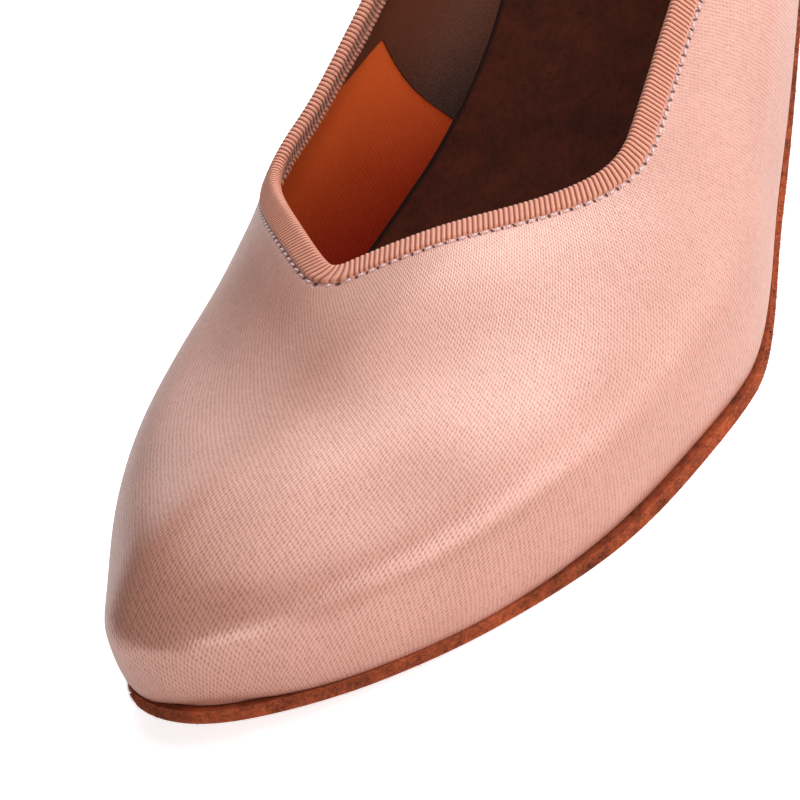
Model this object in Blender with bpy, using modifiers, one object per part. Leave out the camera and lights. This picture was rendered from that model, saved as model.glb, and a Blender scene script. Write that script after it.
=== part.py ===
"""Closed-toe Latin dance court shoe for the left foot, built as six separate solids.

Metres, +Z up, toe towards -Y, outer side of the foot towards +X. The shoe stands on
its forefoot tread and its heel tip at z = 0, with the middle of its plan box on the Z axis.

The upper, binding, insole, sole and heel seat all come from one description of the last:
the feather line (the edge where upper meets sole), and ribs that rise from it towards a
spine over the instep. The spine starts at the throat, so the ribs of the toe fan out
from there and the vamp has no pole at its tip.
"""
import math
from collections import namedtuple

import bmesh
import bpy
import numpy as np

MM = 0.001

# Driving dimensions
LENGTH = 0.2326
BALL_WIDTH = 0.0724
INSTEP_HEIGHT = 0.0760
HEEL_HEIGHT = 0.0522
TOE_SPRING = 0.0036
THROAT = 0.0671
BREAST = 0.1850

# Thicknesses and clearances
SOLE_THICKNESS = 0.0018
WALL = 0.0016
INSOLE_THICKNESS = 0.0024
TAPE = 0.0006
GAP = 0.0003
BINDING_GAP = 0.0004
MARGIN = 0.0060
BINDING_DEPTH = 0.0030
SHOULDER_SIDE = 0.45
SHOULDER_TOP = 0.85
SOLE_OUTSET = 0.0004
INSOLE_INSET = 0.0016
HEEL_TIP_THICKNESS = 0.0040
HEEL_TIP_INSET = 0.0003
BREAST_HOLLOW = 0.0015

# Throat and topline
THROAT_ROUND = 0.0034
V_OUTER = 1.36
V_INNER = 0.97
CORNER = 0.095
SPINE_END = 0.2030
SPINE_EASE = 0.0090

# Fullness of a rib, as shares of its height and of its reach
SIDE_FULL = 0.49
TOP_FULL = 0.41
TUCK_OUT = 0.55
TUCK_UP = 0.12
TUCK_TOP = 0.50

# Mesh density
COLUMNS = 84
LOW_ROWS = 3
UP_ROWS = 10
END_CROWDING = 0.25
HEEL_RINGS = 12
BREAST_POINTS = 7

# Feather line and ribs: along in shares of LENGTH; outer and inner in shares of BALL_WIDTH;
# bulge and wide place the widest line beside and above the feather line, in millimetres;
# trim is how far up the rib, from widest line to spine, the topline is cut.
Section = namedtuple(
    "Section", "along outer inner bulge_out bulge_in wide_out wide_in trim_out trim_in")
SECTIONS = (
    Section(0.0000, -0.073, -0.073, 2.50, 2.50, 9.2, 9.2, 0.49, 0.38),
    Section(0.0193, 0.081, -0.221, 2.45, 2.45, 9.2, 9.2, 0.49, 0.38),
    Section(0.0602, 0.217, -0.305, 2.40, 2.40, 9.4, 9.4, 0.49, 0.38),
    Section(0.1290, 0.367, -0.381, 2.40, 2.30, 10.3, 10.3, 0.49, 0.38),
    Section(0.2150, 0.487, -0.446, 2.45, 2.20, 11.2, 11.6, 0.49, 0.38),
    Section(0.3009, 0.531, -0.463, 2.50, 2.30, 12.1, 13.0, 0.49, 0.38),
    Section(0.3869, 0.537, -0.454, 2.70, 2.80, 13.0, 14.8, 0.49, 0.36),
    Section(0.4815, 0.470, -0.374, 3.20, 4.70, 14.8, 18.0, 0.45, 0.32),
    Section(0.5847, 0.416, -0.262, 4.00, 6.40, 16.7, 20.0, 0.38, 0.27),
    Section(0.6879, 0.370, -0.252, 4.30, 6.20, 17.7, 20.0, 0.33, 0.25),
    Section(0.7954, 0.359, -0.302, 4.10, 4.70, 17.7, 19.0, 0.33, 0.27),
    Section(0.8942, 0.334, -0.314, 3.70, 3.90, 17.7, 17.9, 0.38, 0.34),
    Section(0.9544, 0.246, -0.238, 3.60, 3.60, 17.7, 17.7, 0.43, 0.41),
    Section(0.9880, 0.127, -0.124, 3.40, 3.40, 17.7, 17.7, 0.455, 0.45),
    Section(1.0000, 0.000, 0.000, 3.20, 3.20, 17.7, 17.7, 0.46, 0.46),
)

# Lower face of the sole: toe spring, flat tread, arch and heel seat
Rise = namedtuple("Rise", "along spring arch")
BOTTOM = (
    Rise(0.000, 1.00, 0.000),
    Rise(0.052, 0.53, 0.000),
    Rise(0.120, 0.17, 0.000),
    Rise(0.215, 0.00, 0.000),
    Rise(0.370, 0.00, 0.000),
    Rise(0.447, 0.00, 0.056),
    Rise(0.525, 0.00, 0.186),
    Rise(0.610, 0.00, 0.391),
    Rise(0.696, 0.00, 0.613),
    Rise(0.782, 0.00, 0.801),
    Rise(0.860, 0.00, 0.908),
    Rise(0.929, 0.00, 0.960),
    Rise(1.000, 0.00, 1.000),
)

# Spine over the instep, behind the throat: height in shares of INSTEP_HEIGHT, side in mm
Spine = namedtuple("Spine", "along height side")
SPINE = (
    Spine(0.2885, 0.462, -5.5),
    Spine(0.3654, 0.530, -3.4),
    Spine(0.4514, 0.634, -1.2),
    Spine(0.5374, 0.770, -0.3),
    Spine(0.6449, 1.000, 0.0),
    Spine(0.7524, 1.290, 0.0),
    Spine(0.8813, 1.632, 0.0),
)

# Heel block: level is 1 at the seat and 0 at the tip; front and back in shares of LENGTH,
# half width and side in millimetres
HeelRow = namedtuple("HeelRow", "level front back half_width side")
HEEL = (
    HeelRow(0.00, 0.8560, 0.9790, 15.5, 1.0),
    HeelRow(0.15, 0.8570, 0.9725, 13.6, 1.0),
    HeelRow(0.30, 0.8540, 0.9690, 12.8, 1.1),
    HeelRow(0.45, 0.8470, 0.9700, 13.4, 1.2),
    HeelRow(0.60, 0.8350, 0.9760, 15.3, 1.3),
    HeelRow(0.75, 0.8190, 0.9850, 18.3, 1.4),
    HeelRow(0.90, 0.8040, 0.9950, 22.3, 1.5),
    HeelRow(1.00, 0.7970, 1.0000, 25.0, 1.6),
)

# Colours as sRGB shares
SATIN = (0.92, 0.74, 0.68)
GROSGRAIN = (0.75, 0.50, 0.41)
INSOLE_BROWN = (0.25, 0.11, 0.07)
SUEDE = (0.48, 0.26, 0.18)
TIP_BROWN = (0.22, 0.13, 0.10)


def column(rows, name, scale=1.0):
    """One named column of a table, as an array."""
    return np.array([getattr(row, name) for row in rows]) * scale


def natural_spline(x, y, at):
    """Value and slope at the places `at` of a natural cubic spline, straight beyond its ends."""
    count = len(x)
    step = np.diff(x)
    matrix = np.eye(count)
    bend = np.zeros(count)
    for i in range(1, count - 1):
        matrix[i, i - 1:i + 2] = (step[i - 1] / 6, (step[i - 1] + step[i]) / 3, step[i] / 6)
        bend[i] = (y[i + 1] - y[i]) / step[i] - (y[i] - y[i - 1]) / step[i - 1]
    moment = np.linalg.solve(matrix, bend)
    inside = np.clip(at, x[0], x[-1])
    k = np.clip(np.searchsorted(x, inside, side="right") - 1, 0, count - 2)
    a = (x[k + 1] - inside) / step[k]
    b = 1.0 - a
    value = a * y[k] + b * y[k + 1]
    value += ((a**3 - a) * moment[k] + (b**3 - b) * moment[k + 1]) * step[k]**2 / 6
    slope = (y[k + 1] - y[k]) / step[k]
    slope += ((1 - 3 * a**2) * moment[k] + (3 * b**2 - 1) * moment[k + 1]) * step[k] / 6
    return value + slope * (at - inside), slope


def closed_spline(s, values, at):
    """Periodic cubic spline of period 1 through (s, values), read at the places `at`."""
    count = len(s)
    step = np.diff(np.append(s, s[0] + 1.0))
    matrix = np.zeros((count, count))
    bend = np.zeros(count)
    for i in range(count):
        after = (i + 1) % count
        matrix[i, i - 1] += step[i - 1] / 6
        matrix[i, i] += (step[i - 1] + step[i]) / 3
        matrix[i, after] += step[i] / 6
        bend[i] = (values[after] - values[i]) / step[i] - (values[i] - values[i - 1]) / step[i - 1]
    moment = np.linalg.solve(matrix, bend)
    at = np.mod(at - s[0], 1.0) + s[0]
    k = np.clip(np.searchsorted(s, at, side="right") - 1, 0, count - 1)
    after = (k + 1) % count
    a = (s[k] + step[k] - at) / step[k]
    b = 1.0 - a
    cubic = (a**3 - a) * moment[k] + (b**3 - b) * moment[after]
    return a * values[k] + b * values[after] + cubic * step[k]**2 / 6


def steady_curve(x, y, at):
    """Cubic through the rows that keeps flat stretches flat and never overshoots."""
    step = np.diff(x)
    rate = np.diff(y) / step
    slope = np.zeros(len(x))
    slope[0] = rate[0]
    slope[-1] = rate[-1]
    for i in range(1, len(x) - 1):
        if rate[i - 1] * rate[i] > 0:
            before = 2 * step[i] + step[i - 1]
            behind = step[i] + 2 * step[i - 1]
            slope[i] = (before + behind) / (before / rate[i - 1] + behind / rate[i])
    inside = np.clip(at, x[0], x[-1])
    k = np.clip(np.searchsorted(x, inside, side="right") - 1, 0, len(x) - 2)
    t = (inside - x[k]) / step[k]
    value = (1 + 2 * t) * (1 - t)**2 * y[k] + t * (1 - t)**2 * step[k] * slope[k]
    value += t * t * (3 - 2 * t) * y[k + 1] - t * t * (1 - t) * step[k] * slope[k + 1]
    end_slope = np.where(at < x[0], slope[0], slope[-1])
    return value + end_slope * (at - inside)


def soft_ramp(x, width):
    """Zero well below x = 0 and x itself well above it, with a smooth turn of the given width."""
    return width * np.logaddexp(0.0, x / width)


def bezier(p0, p1, p2, p3, t):
    """Cubic Bezier curve at t, which may be an array with a trailing axis of 1."""
    s = 1.0 - t
    return s**3 * p0 + 3 * s * s * t * p1 + 3 * s * t * t * p2 + t**3 * p3


def sole_height(along):
    """Height of the sole's lower face at a place along the shoe."""
    x = column(BOTTOM, "along", LENGTH)
    rise = column(BOTTOM, "spring", TOE_SPRING) + column(BOTTOM, "arch", HEEL_HEIGHT)
    return steady_curve(x, rise, along)


def height_over_sole(along, distance):
    """Height of a face that lies a distance above the sole's lower face, square to its slope."""
    small = 1e-4
    slope = (sole_height(along + small) - sole_height(along - small)) / (2 * small)
    return sole_height(along) + distance * np.hypot(1.0, slope)


def feather_height(along):
    """Height of the upper's lowest face, which sits on the sole."""
    return height_over_sole(along, SOLE_THICKNESS + GAP)


def loop_stations():
    """Parameter of each table row round the closed outline, equal on both sides."""
    along = column(SECTIONS, "along", LENGTH)
    steps = np.zeros(len(SECTIONS) - 1)
    for side in ("outer", "inner"):
        across = column(SECTIONS, side, BALL_WIDTH)
        steps += np.hypot(np.diff(across), np.diff(along)) / 2
    half = np.concatenate([[0.0], np.cumsum(steps)]) / (2 * steps.sum())
    return np.concatenate([half, 1.0 - half[-2:0:-1]])


def read_loop(outer_name, inner_name, scale, at):
    """A pair of table columns as one periodic curve: outer side first, then the inner side."""
    outer = column(SECTIONS, outer_name, scale)
    inner = column(SECTIONS, inner_name, scale)
    return closed_spline(loop_stations(), np.concatenate([outer, inner[-2:0:-1]]), at)


def crowded(count):
    """Parameters round the outline, closer together at toe and heel than along the sides."""
    even = np.arange(count) / count
    return even - END_CROWDING * np.sin(4 * math.pi * even) / (4 * math.pi)


def outline(at, outset=0.0):
    """Plan points (x, y) of the feather line, moved outwards by `outset`."""
    small = 1e-4
    x, before_x, after_x = (read_loop("outer", "inner", BALL_WIDTH, at + d) for d in (0, -small, small))
    y, before_y, after_y = (read_loop("along", "along", LENGTH, at + d) for d in (0, -small, small))
    normal = np.stack([after_y - before_y, before_x - after_x], axis=1)
    normal /= np.linalg.norm(normal, axis=1)[:, None]
    return np.stack([x, y], axis=1) + outset * normal


class Ribs:
    """The last's ribs: each runs from the feather line over the widest line to the spine."""

    def __init__(self, count):
        self.at = crowded(count)
        self.plan = outline(self.at)
        along = self.plan[:, 1]
        self.feather = np.column_stack([self.plan, feather_height(along)])
        spine_along = THROAT + soft_ramp(along - THROAT, SPINE_EASE)
        spine_along = SPINE_END - soft_ramp(SPINE_END - spine_along, SPINE_EASE)
        self.spine_along = spine_along
        places = column(SPINE, "along", LENGTH)
        height, slope = natural_spline(places, column(SPINE, "height", INSTEP_HEIGHT), spine_along)
        side = natural_spline(places, column(SPINE, "side", MM), spine_along)[0]
        self.spine = np.column_stack([side, spine_along, height])
        reach = self.feather[:, :2] - self.spine[:, :2]
        self.reach = np.linalg.norm(reach, axis=1)
        outward = np.column_stack([reach / self.reach[:, None], np.zeros(count)])
        bulge = read_loop("bulge_out", "bulge_in", MM, self.at)[:, None]
        wide = read_loop("wide_out", "wide_in", MM, self.at)[:, None]
        up = np.array([0.0, 0.0, 1.0])
        self.widest = self.feather + outward * bulge + up * wide
        self.low = (self.feather,
                    self.feather + outward * bulge * TUCK_OUT + up * wide * TUCK_UP,
                    self.widest - up * wide * TUCK_TOP,
                    self.widest)
        rise = (self.spine - self.widest)[:, 2:]
        over = outward + up * (slope * outward[:, 1])[:, None]
        self.high = (self.widest,
                     self.widest + up * rise * SIDE_FULL,
                     self.spine + over * (self.reach[:, None] + bulge) * TOP_FULL,
                     self.spine)
        self.cut = self.topline_cut()

    def topline_cut(self):
        """Share of each upper rib that is kept: the V of the throat, then the quarter's trim."""
        outer = np.arange(len(self.at)) <= len(self.at) // 2
        spread = np.where(outer, V_OUTER, V_INNER)
        arm = THROAT_ROUND + spread * (self.spine_along - THROAT)
        steps = np.linspace(0.0, 1.0, 200)
        plan = np.stack([bezier(*self.high, t)[:, :2] for t in steps], axis=1)
        away = np.linalg.norm(plan - self.spine[:, None, :2], axis=2)
        at_arm = np.array([np.interp(-arm[i], -away[i], steps) for i in range(len(arm))])
        past_edge = arm > away[:, 0]
        at_arm = np.where(past_edge, 1.0 - arm / away[:, 0], at_arm)
        trim = read_loop("trim_out", "trim_in", 1.0, self.at)
        return trim + soft_ramp(at_arm - trim, CORNER)

    def below_topline(self, depth):
        """Points of the outer face at a depth below the topline, measured along each rib."""
        small = 1e-3
        cut = self.cut[:, None]
        speed = np.linalg.norm(bezier(*self.high, cut) - bezier(*self.high, cut - small), axis=1)
        return bezier(*self.high, cut - depth * small / speed[:, None])

    def frame_below_topline(self, depth):
        """Points at a depth below the topline, with the way up the rib and the outward normal."""
        small = 2e-4
        points = self.below_topline(depth)
        rise = self.below_topline(depth - small) - self.below_topline(depth + small)
        rise /= np.linalg.norm(rise, axis=1)[:, None]
        tangent = np.roll(points, -1, axis=0) - np.roll(points, 1, axis=0)
        normal = np.cross(tangent, rise)
        normal /= np.linalg.norm(normal, axis=1)[:, None]
        return points, rise, normal

    def grid(self):
        """Rows of points of the outer face, from the turned margin up to the topline."""
        margin = outline(self.at, -MARGIN)
        rows = [lifted(margin, SOLE_THICKNESS + GAP)]
        rows += [bezier(*self.low, t) for t in np.linspace(0.0, 1.0, LOW_ROWS + 1)]
        rows += [bezier(*self.high, self.cut[:, None] * t) for t in np.linspace(0.0, 1.0, UP_ROWS + 1)[1:]]
        return rows


def linear(colour):
    """sRGB shares as the linear colour that a shader takes."""
    return [c / 12.92 if c <= 0.04045 else ((c + 0.055) / 1.055)**2.4 for c in colour] + [1.0]


def material(name, colour, roughness):
    """A plain Principled material."""
    made = bpy.data.materials.new(name)
    made.use_nodes = True
    shader = made.node_tree.nodes["Principled BSDF"]
    shader.inputs["Base Color"].default_value = linear(colour)
    shader.inputs["Roughness"].default_value = roughness
    shader.inputs["Metallic"].default_value = 0.0
    return made


def add_piece(name, points, faces, look, parent, collection, closed=True):
    """Makes a mesh object from points and faces, smooth where its faces meet gently."""
    mesh = bpy.data.meshes.new(name)
    mesh.from_pydata([tuple(p) for p in points], [], faces)
    if closed:
        shape = bmesh.new()
        shape.from_mesh(mesh)
        bmesh.ops.recalc_face_normals(shape, faces=shape.faces)
        shape.to_mesh(mesh)
        shape.free()
    mesh.shade_smooth()
    mesh.set_sharp_from_angle(angle=math.radians(40))
    mesh.materials.append(look)
    piece = bpy.data.objects.new(name, mesh)
    piece.parent = parent
    collection.objects.link(piece)
    return piece


def ring_faces(count, low, high):
    """Quads between two closed rings whose points start at `low` and `high`."""
    return [(low + i, low + (i + 1) % count, high + (i + 1) % count, high + i) for i in range(count)]


def ladder_faces(count, start):
    """Closes a ring that mirrors about its first point, by rungs from side to side."""
    faces = []
    for i in range(count // 2):
        rung = (start + i, start + i + 1, start + (count - i - 1) % count, start + (count - i) % count)
        corners = list(dict.fromkeys(rung))
        if len(corners) > 2:
            faces.append(tuple(corners))
    return faces


def stacked(name, rings, look, parent, collection):
    """A solid through rings of equal count, bottom to top, closed by ladders at both ends."""
    count = len(rings[0])
    faces = []
    for level in range(len(rings) - 1):
        faces += ring_faces(count, level * count, (level + 1) * count)
    faces += ladder_faces(count, 0)
    faces += ladder_faces(count, (len(rings) - 1) * count)
    return add_piece(name, np.concatenate(rings), faces, look, parent, collection)


def lifted(plan, distance):
    """Plan points raised to a distance above the sole's lower face."""
    return np.column_stack([plan, height_over_sole(plan[:, 1], distance)])


def make_upper(ribs, centre, look, parent, collection):
    """The satin upper with its lining, one shell: turned margin, walls, vamp and quarters."""
    rows = ribs.grid()
    faces = []
    for level in range(len(rows) - 1):
        faces += ring_faces(COLUMNS, level * COLUMNS, (level + 1) * COLUMNS)
    upper = add_piece("upper", np.concatenate(rows) - centre, faces, look, parent, collection, closed=False)
    shell = upper.modifiers.new("wall", "SOLIDIFY")
    shell.thickness = WALL
    shell.offset = -1.0
    shell.use_even_offset = True
    shell.use_quality_normals = True


def make_binding(ribs, centre, look, parent, collection):
    """Grosgrain tape folded over the topline, a U section that clears both faces of the wall."""
    edge, rise, normal = ribs.frame_below_topline(0.0)
    foot, _, foot_normal = ribs.frame_below_topline(BINDING_DEPTH)
    near, far = BINDING_GAP, BINDING_GAP + TAPE
    shoulder = rise * far * SHOULDER_TOP
    lines = (
        foot + foot_normal * far,
        edge + normal * far,
        edge + normal * far * SHOULDER_SIDE + shoulder,
        edge - normal * WALL / 2 + rise * far,
        edge - normal * (WALL + far * SHOULDER_SIDE) + shoulder,
        edge - normal * (WALL + far),
        foot - foot_normal * (WALL + far),
        foot - foot_normal * (WALL + near),
        edge - normal * (WALL + near) + rise * near,
        edge + normal * near + rise * near,
        foot + foot_normal * near,
    )
    faces = []
    for k in range(len(lines)):
        faces += ring_faces(COLUMNS, k * COLUMNS, (k + 1) % len(lines) * COLUMNS)
    add_piece("topline_binding", np.concatenate(lines) - centre, faces, look, parent, collection)


def make_insole(centre, look, parent, collection):
    """The insole, which rests on the upper's turned margin inside the walls."""
    plan = outline(crowded(COLUMNS), -INSOLE_INSET)
    floor = SOLE_THICKNESS + GAP + WALL + GAP
    rings = [lifted(plan, h) - centre for h in (floor, floor + INSOLE_THICKNESS)]
    stacked("insole", rings, look, parent, collection)


def make_outsole(centre, look, parent, collection):
    """The thin suede sole from the toe to the heel breast."""
    at = crowded(COLUMNS)
    along = read_loop("along", "along", LENGTH, at)
    half = COLUMNS // 2
    breast_at = np.interp(BREAST, along[:half + 1], at[:half + 1])
    front = at[:half + 1][along[:half + 1] < BREAST - SOLE_THICKNESS]
    outer = np.append(front, breast_at)
    loop = np.concatenate([outer, 1.0 - outer[:0:-1]])
    plan = outline(loop, SOLE_OUTSET)
    plan[len(outer) - 1:len(outer) + 1, 1] = BREAST
    rings = [lifted(plan, h) - centre for h in (0.0, SOLE_THICKNESS)]
    stacked("outsole", rings, look, parent, collection)


def heel_seat():
    """Plan of the heel's seat: the feather line behind the breast, closed by a hollow breast line."""
    at = crowded(COLUMNS)
    along = read_loop("along", "along", LENGTH, at)
    half = COLUMNS // 2
    start = BREAST + GAP
    first = np.interp(start, along[:half + 1], at[:half + 1])
    back = at[:half + 1][along[:half + 1] > start + SOLE_THICKNESS]
    outer = np.insert(back, 0, first)
    plan = outline(np.concatenate([outer, 1.0 - outer[-2::-1]]))
    share = np.linspace(-1.0, 1.0, BREAST_POINTS + 2)[1:-1]
    middle = (plan[0, 0] + plan[-1, 0]) / 2
    across = middle + share * (plan[0, 0] - plan[-1, 0]) / 2
    breast = np.column_stack([across, start + BREAST_HOLLOW * (1 - share**2)])
    centre_line = BREAST_POINTS // 2
    return np.concatenate([breast[centre_line:], plan, breast[:centre_line]])


def make_heel(centre, look, parent, collection):
    """The covered heel block: seat outline at the top, a waist, and a flare at the tip."""
    seat = heel_seat()
    level = column(HEEL, "level")
    top = HEEL[-1]
    seat_front, seat_back = top.front * LENGTH, top.back * LENGTH
    u = (seat[:, 0] - top.side * MM) / (top.half_width * MM)
    v = (seat[:, 1] - seat_front) / (seat_back - seat_front)
    low = HEEL_TIP_THICKNESS + GAP
    rings = []
    for share in np.linspace(0.0, 1.0, HEEL_RINGS):
        front, back = (natural_spline(level, column(HEEL, n, LENGTH), share)[0] for n in ("front", "back"))
        width, side = (natural_spline(level, column(HEEL, n, MM), share)[0] for n in ("half_width", "side"))
        x = side + u * width
        y = front + v * (back - front)
        z = low + share * (height_over_sole(y, SOLE_THICKNESS) - low)
        rings.append(np.column_stack([x, y, z]) - centre)
    stacked("heel", rings, look, parent, collection)
    return u, v


def make_heel_tip(u, v, centre, look, parent, collection):
    """The top piece under the heel, flat at the floor."""
    row = HEEL[0]
    x = row.side * MM + u * (row.half_width * MM - HEEL_TIP_INSET)
    front = row.front * LENGTH + HEEL_TIP_INSET
    back = row.back * LENGTH - HEEL_TIP_INSET
    y = front + v * (back - front)
    rings = [np.column_stack([x, y, np.full(len(x), z)]) - centre for z in (0.0, HEEL_TIP_THICKNESS)]
    stacked("heel_tip", rings, look, parent, collection)


def main():
    """Clears the scene and builds the six pieces round one origin."""
    for old in list(bpy.data.objects):
        bpy.data.objects.remove(old, do_unlink=True)
    collection = bpy.data.collections.new("latin_dance_shoe")
    bpy.context.scene.collection.children.link(collection)
    origin = bpy.data.objects.new("shoe_origin", None)
    collection.objects.link(origin)
    ribs = Ribs(COLUMNS)
    outer_face = np.concatenate(ribs.grid())
    centre = (outer_face.min(axis=0) + outer_face.max(axis=0)) / 2
    centre[2] = 0.0
    satin = material("rose_satin", SATIN, 0.35)
    suede = material("sole_suede", SUEDE, 0.95)
    make_upper(ribs, centre, satin, origin, collection)
    make_binding(ribs, centre, material("grosgrain_tape", GROSGRAIN, 0.6), origin, collection)
    make_insole(centre, material("insole_brown", INSOLE_BROWN, 0.8), origin, collection)
    make_outsole(centre, suede, origin, collection)
    u, v = make_heel(centre, satin, origin, collection)
    make_heel_tip(u, v, centre, material("heel_tip_brown", TIP_BROWN, 0.7), origin, collection)


main()
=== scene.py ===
"""Finished looks of a satin Latin dance court shoe: cloth, tape, linings, suede sole and covered heel.

Metres, +Z up, toe towards -Y, outer side of the left foot towards +X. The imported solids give
the frame. Each visible piece here is a finer mesh on the same last, so it lies where its solid is.
"""

import functools
import logging
import math
from collections.abc import Callable, Iterable, Sequence
from dataclasses import dataclass
from enum import Enum
from typing import NamedTuple

import bpy
import numpy as np
from mathutils import Matrix, Vector
from mathutils.bvhtree import BVHTree


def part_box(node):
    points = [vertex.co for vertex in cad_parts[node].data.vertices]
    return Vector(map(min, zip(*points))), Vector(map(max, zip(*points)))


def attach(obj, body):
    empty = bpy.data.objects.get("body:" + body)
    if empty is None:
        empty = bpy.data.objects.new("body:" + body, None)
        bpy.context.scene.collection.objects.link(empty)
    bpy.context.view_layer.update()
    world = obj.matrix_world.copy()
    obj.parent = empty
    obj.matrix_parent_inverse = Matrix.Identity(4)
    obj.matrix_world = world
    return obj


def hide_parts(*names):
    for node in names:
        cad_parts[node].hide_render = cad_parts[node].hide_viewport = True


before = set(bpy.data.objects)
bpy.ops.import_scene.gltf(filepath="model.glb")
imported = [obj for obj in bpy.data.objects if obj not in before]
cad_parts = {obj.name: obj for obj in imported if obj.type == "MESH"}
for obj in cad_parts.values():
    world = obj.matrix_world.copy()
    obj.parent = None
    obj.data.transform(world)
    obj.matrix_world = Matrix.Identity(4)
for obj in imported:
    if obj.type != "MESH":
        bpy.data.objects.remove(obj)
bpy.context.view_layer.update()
bpy.ops.object.select_all(action="DESELECT")

MM = 0.001
UP = np.array([0.0, 0.0, 1.0])
WIDEST_SHARE = 0.25
LOG = logging.getLogger("latin_dance_shoe")


class Slot(Enum):
    """Slot names of the finishes; no piece in this script reads them."""

    SATIN = "rose_satin"
    TAPE = "grosgrain_tape"
    INSOLE = "insole_brown"
    SUEDE = "sole_suede"
    HEEL = "heel_satin"
    TIP = "heel_tip_brown"


class Section(NamedTuple):
    """One row of the last's outline and ribs; shares of length and ball width, and millimetres."""

    along: float
    outer: float
    inner: float
    bulge_out: float
    bulge_in: float
    wide_out: float
    wide_in: float
    trim_out: float
    trim_in: float


class Rise(NamedTuple):
    """Height of the sole's lower face: shares of the toe spring and of the heel height."""

    along: float
    spring: float
    arch: float


class Spine(NamedTuple):
    """Place of the instep's spine: shares of length and instep height, and millimetres."""

    along: float
    height: float
    side: float


class HeelRow(NamedTuple):
    """Cross-section of the heel block, from the tip at level 0 to the seat at level 1."""

    level: float
    front: float
    back: float
    half_width: float
    side: float


SECTIONS = (
    Section(0.0000, -0.073, -0.073, 2.50, 2.50, 9.2, 9.2, 0.49, 0.38),
    Section(0.0193, 0.081, -0.221, 2.45, 2.45, 9.2, 9.2, 0.49, 0.38),
    Section(0.0602, 0.217, -0.305, 2.40, 2.40, 9.4, 9.4, 0.49, 0.38),
    Section(0.1290, 0.367, -0.381, 2.40, 2.30, 10.3, 10.3, 0.49, 0.38),
    Section(0.2150, 0.487, -0.446, 2.45, 2.20, 11.2, 11.6, 0.49, 0.38),
    Section(0.3009, 0.531, -0.463, 2.50, 2.30, 12.1, 13.0, 0.49, 0.38),
    Section(0.3869, 0.537, -0.454, 2.70, 2.80, 13.0, 14.8, 0.49, 0.36),
    Section(0.4815, 0.470, -0.374, 3.20, 4.70, 14.8, 18.0, 0.45, 0.32),
    Section(0.5847, 0.416, -0.262, 4.00, 6.40, 16.7, 20.0, 0.38, 0.27),
    Section(0.6879, 0.370, -0.252, 4.30, 6.20, 17.7, 20.0, 0.33, 0.25),
    Section(0.7954, 0.359, -0.302, 4.10, 4.70, 17.7, 19.0, 0.33, 0.27),
    Section(0.8942, 0.334, -0.314, 3.70, 3.90, 17.7, 17.9, 0.38, 0.34),
    Section(0.9544, 0.246, -0.238, 3.60, 3.60, 17.7, 17.7, 0.43, 0.41),
    Section(0.9880, 0.127, -0.124, 3.40, 3.40, 17.7, 17.7, 0.455, 0.45),
    Section(1.0000, 0.000, 0.000, 3.20, 3.20, 17.7, 17.7, 0.46, 0.46),
)

BOTTOM = (
    Rise(0.000, 1.00, 0.000),
    Rise(0.052, 0.53, 0.000),
    Rise(0.120, 0.17, 0.000),
    Rise(0.215, 0.00, 0.000),
    Rise(0.370, 0.00, 0.000),
    Rise(0.447, 0.00, 0.056),
    Rise(0.525, 0.00, 0.186),
    Rise(0.610, 0.00, 0.391),
    Rise(0.696, 0.00, 0.613),
    Rise(0.782, 0.00, 0.801),
    Rise(0.860, 0.00, 0.908),
    Rise(0.929, 0.00, 0.960),
    Rise(1.000, 0.00, 1.000),
)

SPINE = (
    Spine(0.2885, 0.462, -5.5),
    Spine(0.3654, 0.530, -3.4),
    Spine(0.4514, 0.634, -1.2),
    Spine(0.5374, 0.770, -0.3),
    Spine(0.6449, 1.000, 0.0),
    Spine(0.7524, 1.290, 0.0),
    Spine(0.8813, 1.632, 0.0),
)

HEEL = (
    HeelRow(0.00, 0.8560, 0.9790, 15.5, 1.0),
    HeelRow(0.15, 0.8570, 0.9725, 13.6, 1.0),
    HeelRow(0.30, 0.8540, 0.9690, 12.8, 1.1),
    HeelRow(0.45, 0.8470, 0.9700, 13.4, 1.2),
    HeelRow(0.60, 0.8350, 0.9760, 15.3, 1.3),
    HeelRow(0.75, 0.8190, 0.9850, 18.3, 1.4),
    HeelRow(0.90, 0.8040, 0.9950, 22.3, 1.5),
    HeelRow(1.00, 0.7970, 1.0000, 25.0, 1.6),
)


def column(rows: Sequence[NamedTuple], name: str, scale: float = 1.0) -> np.ndarray:
    """Reads one named column of a table.

    Args:
        rows: The table.
        name: The column's field name.
        scale: A factor on every value.

    Returns:
        The column as an array.
    """
    return np.array([getattr(row, name) for row in rows]) * scale


def natural_spline(x: np.ndarray, y: np.ndarray, at: np.ndarray) -> tuple[np.ndarray, np.ndarray]:
    """Reads a natural cubic spline that runs straight on beyond its ends.

    Args:
        x: Places of the knots.
        y: Values at the knots.
        at: Places to read.

    Returns:
        The values and the slopes at those places.
    """
    count = len(x)
    step = np.diff(x)
    matrix = np.eye(count)
    bend = np.zeros(count)
    for i in range(1, count - 1):
        matrix[i, i - 1:i + 2] = (step[i - 1] / 6, (step[i - 1] + step[i]) / 3, step[i] / 6)
        bend[i] = (y[i + 1] - y[i]) / step[i] - (y[i] - y[i - 1]) / step[i - 1]
    moment = np.linalg.solve(matrix, bend)
    inside = np.clip(at, x[0], x[-1])
    k = np.clip(np.searchsorted(x, inside, side="right") - 1, 0, count - 2)
    a = (x[k + 1] - inside) / step[k]
    b = 1.0 - a
    value = a * y[k] + b * y[k + 1]
    value += ((a**3 - a) * moment[k] + (b**3 - b) * moment[k + 1]) * step[k]**2 / 6
    slope = (y[k + 1] - y[k]) / step[k]
    slope += ((1 - 3 * a**2) * moment[k] + (3 * b**2 - 1) * moment[k + 1]) * step[k] / 6
    return value + slope * (at - inside), slope


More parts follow.
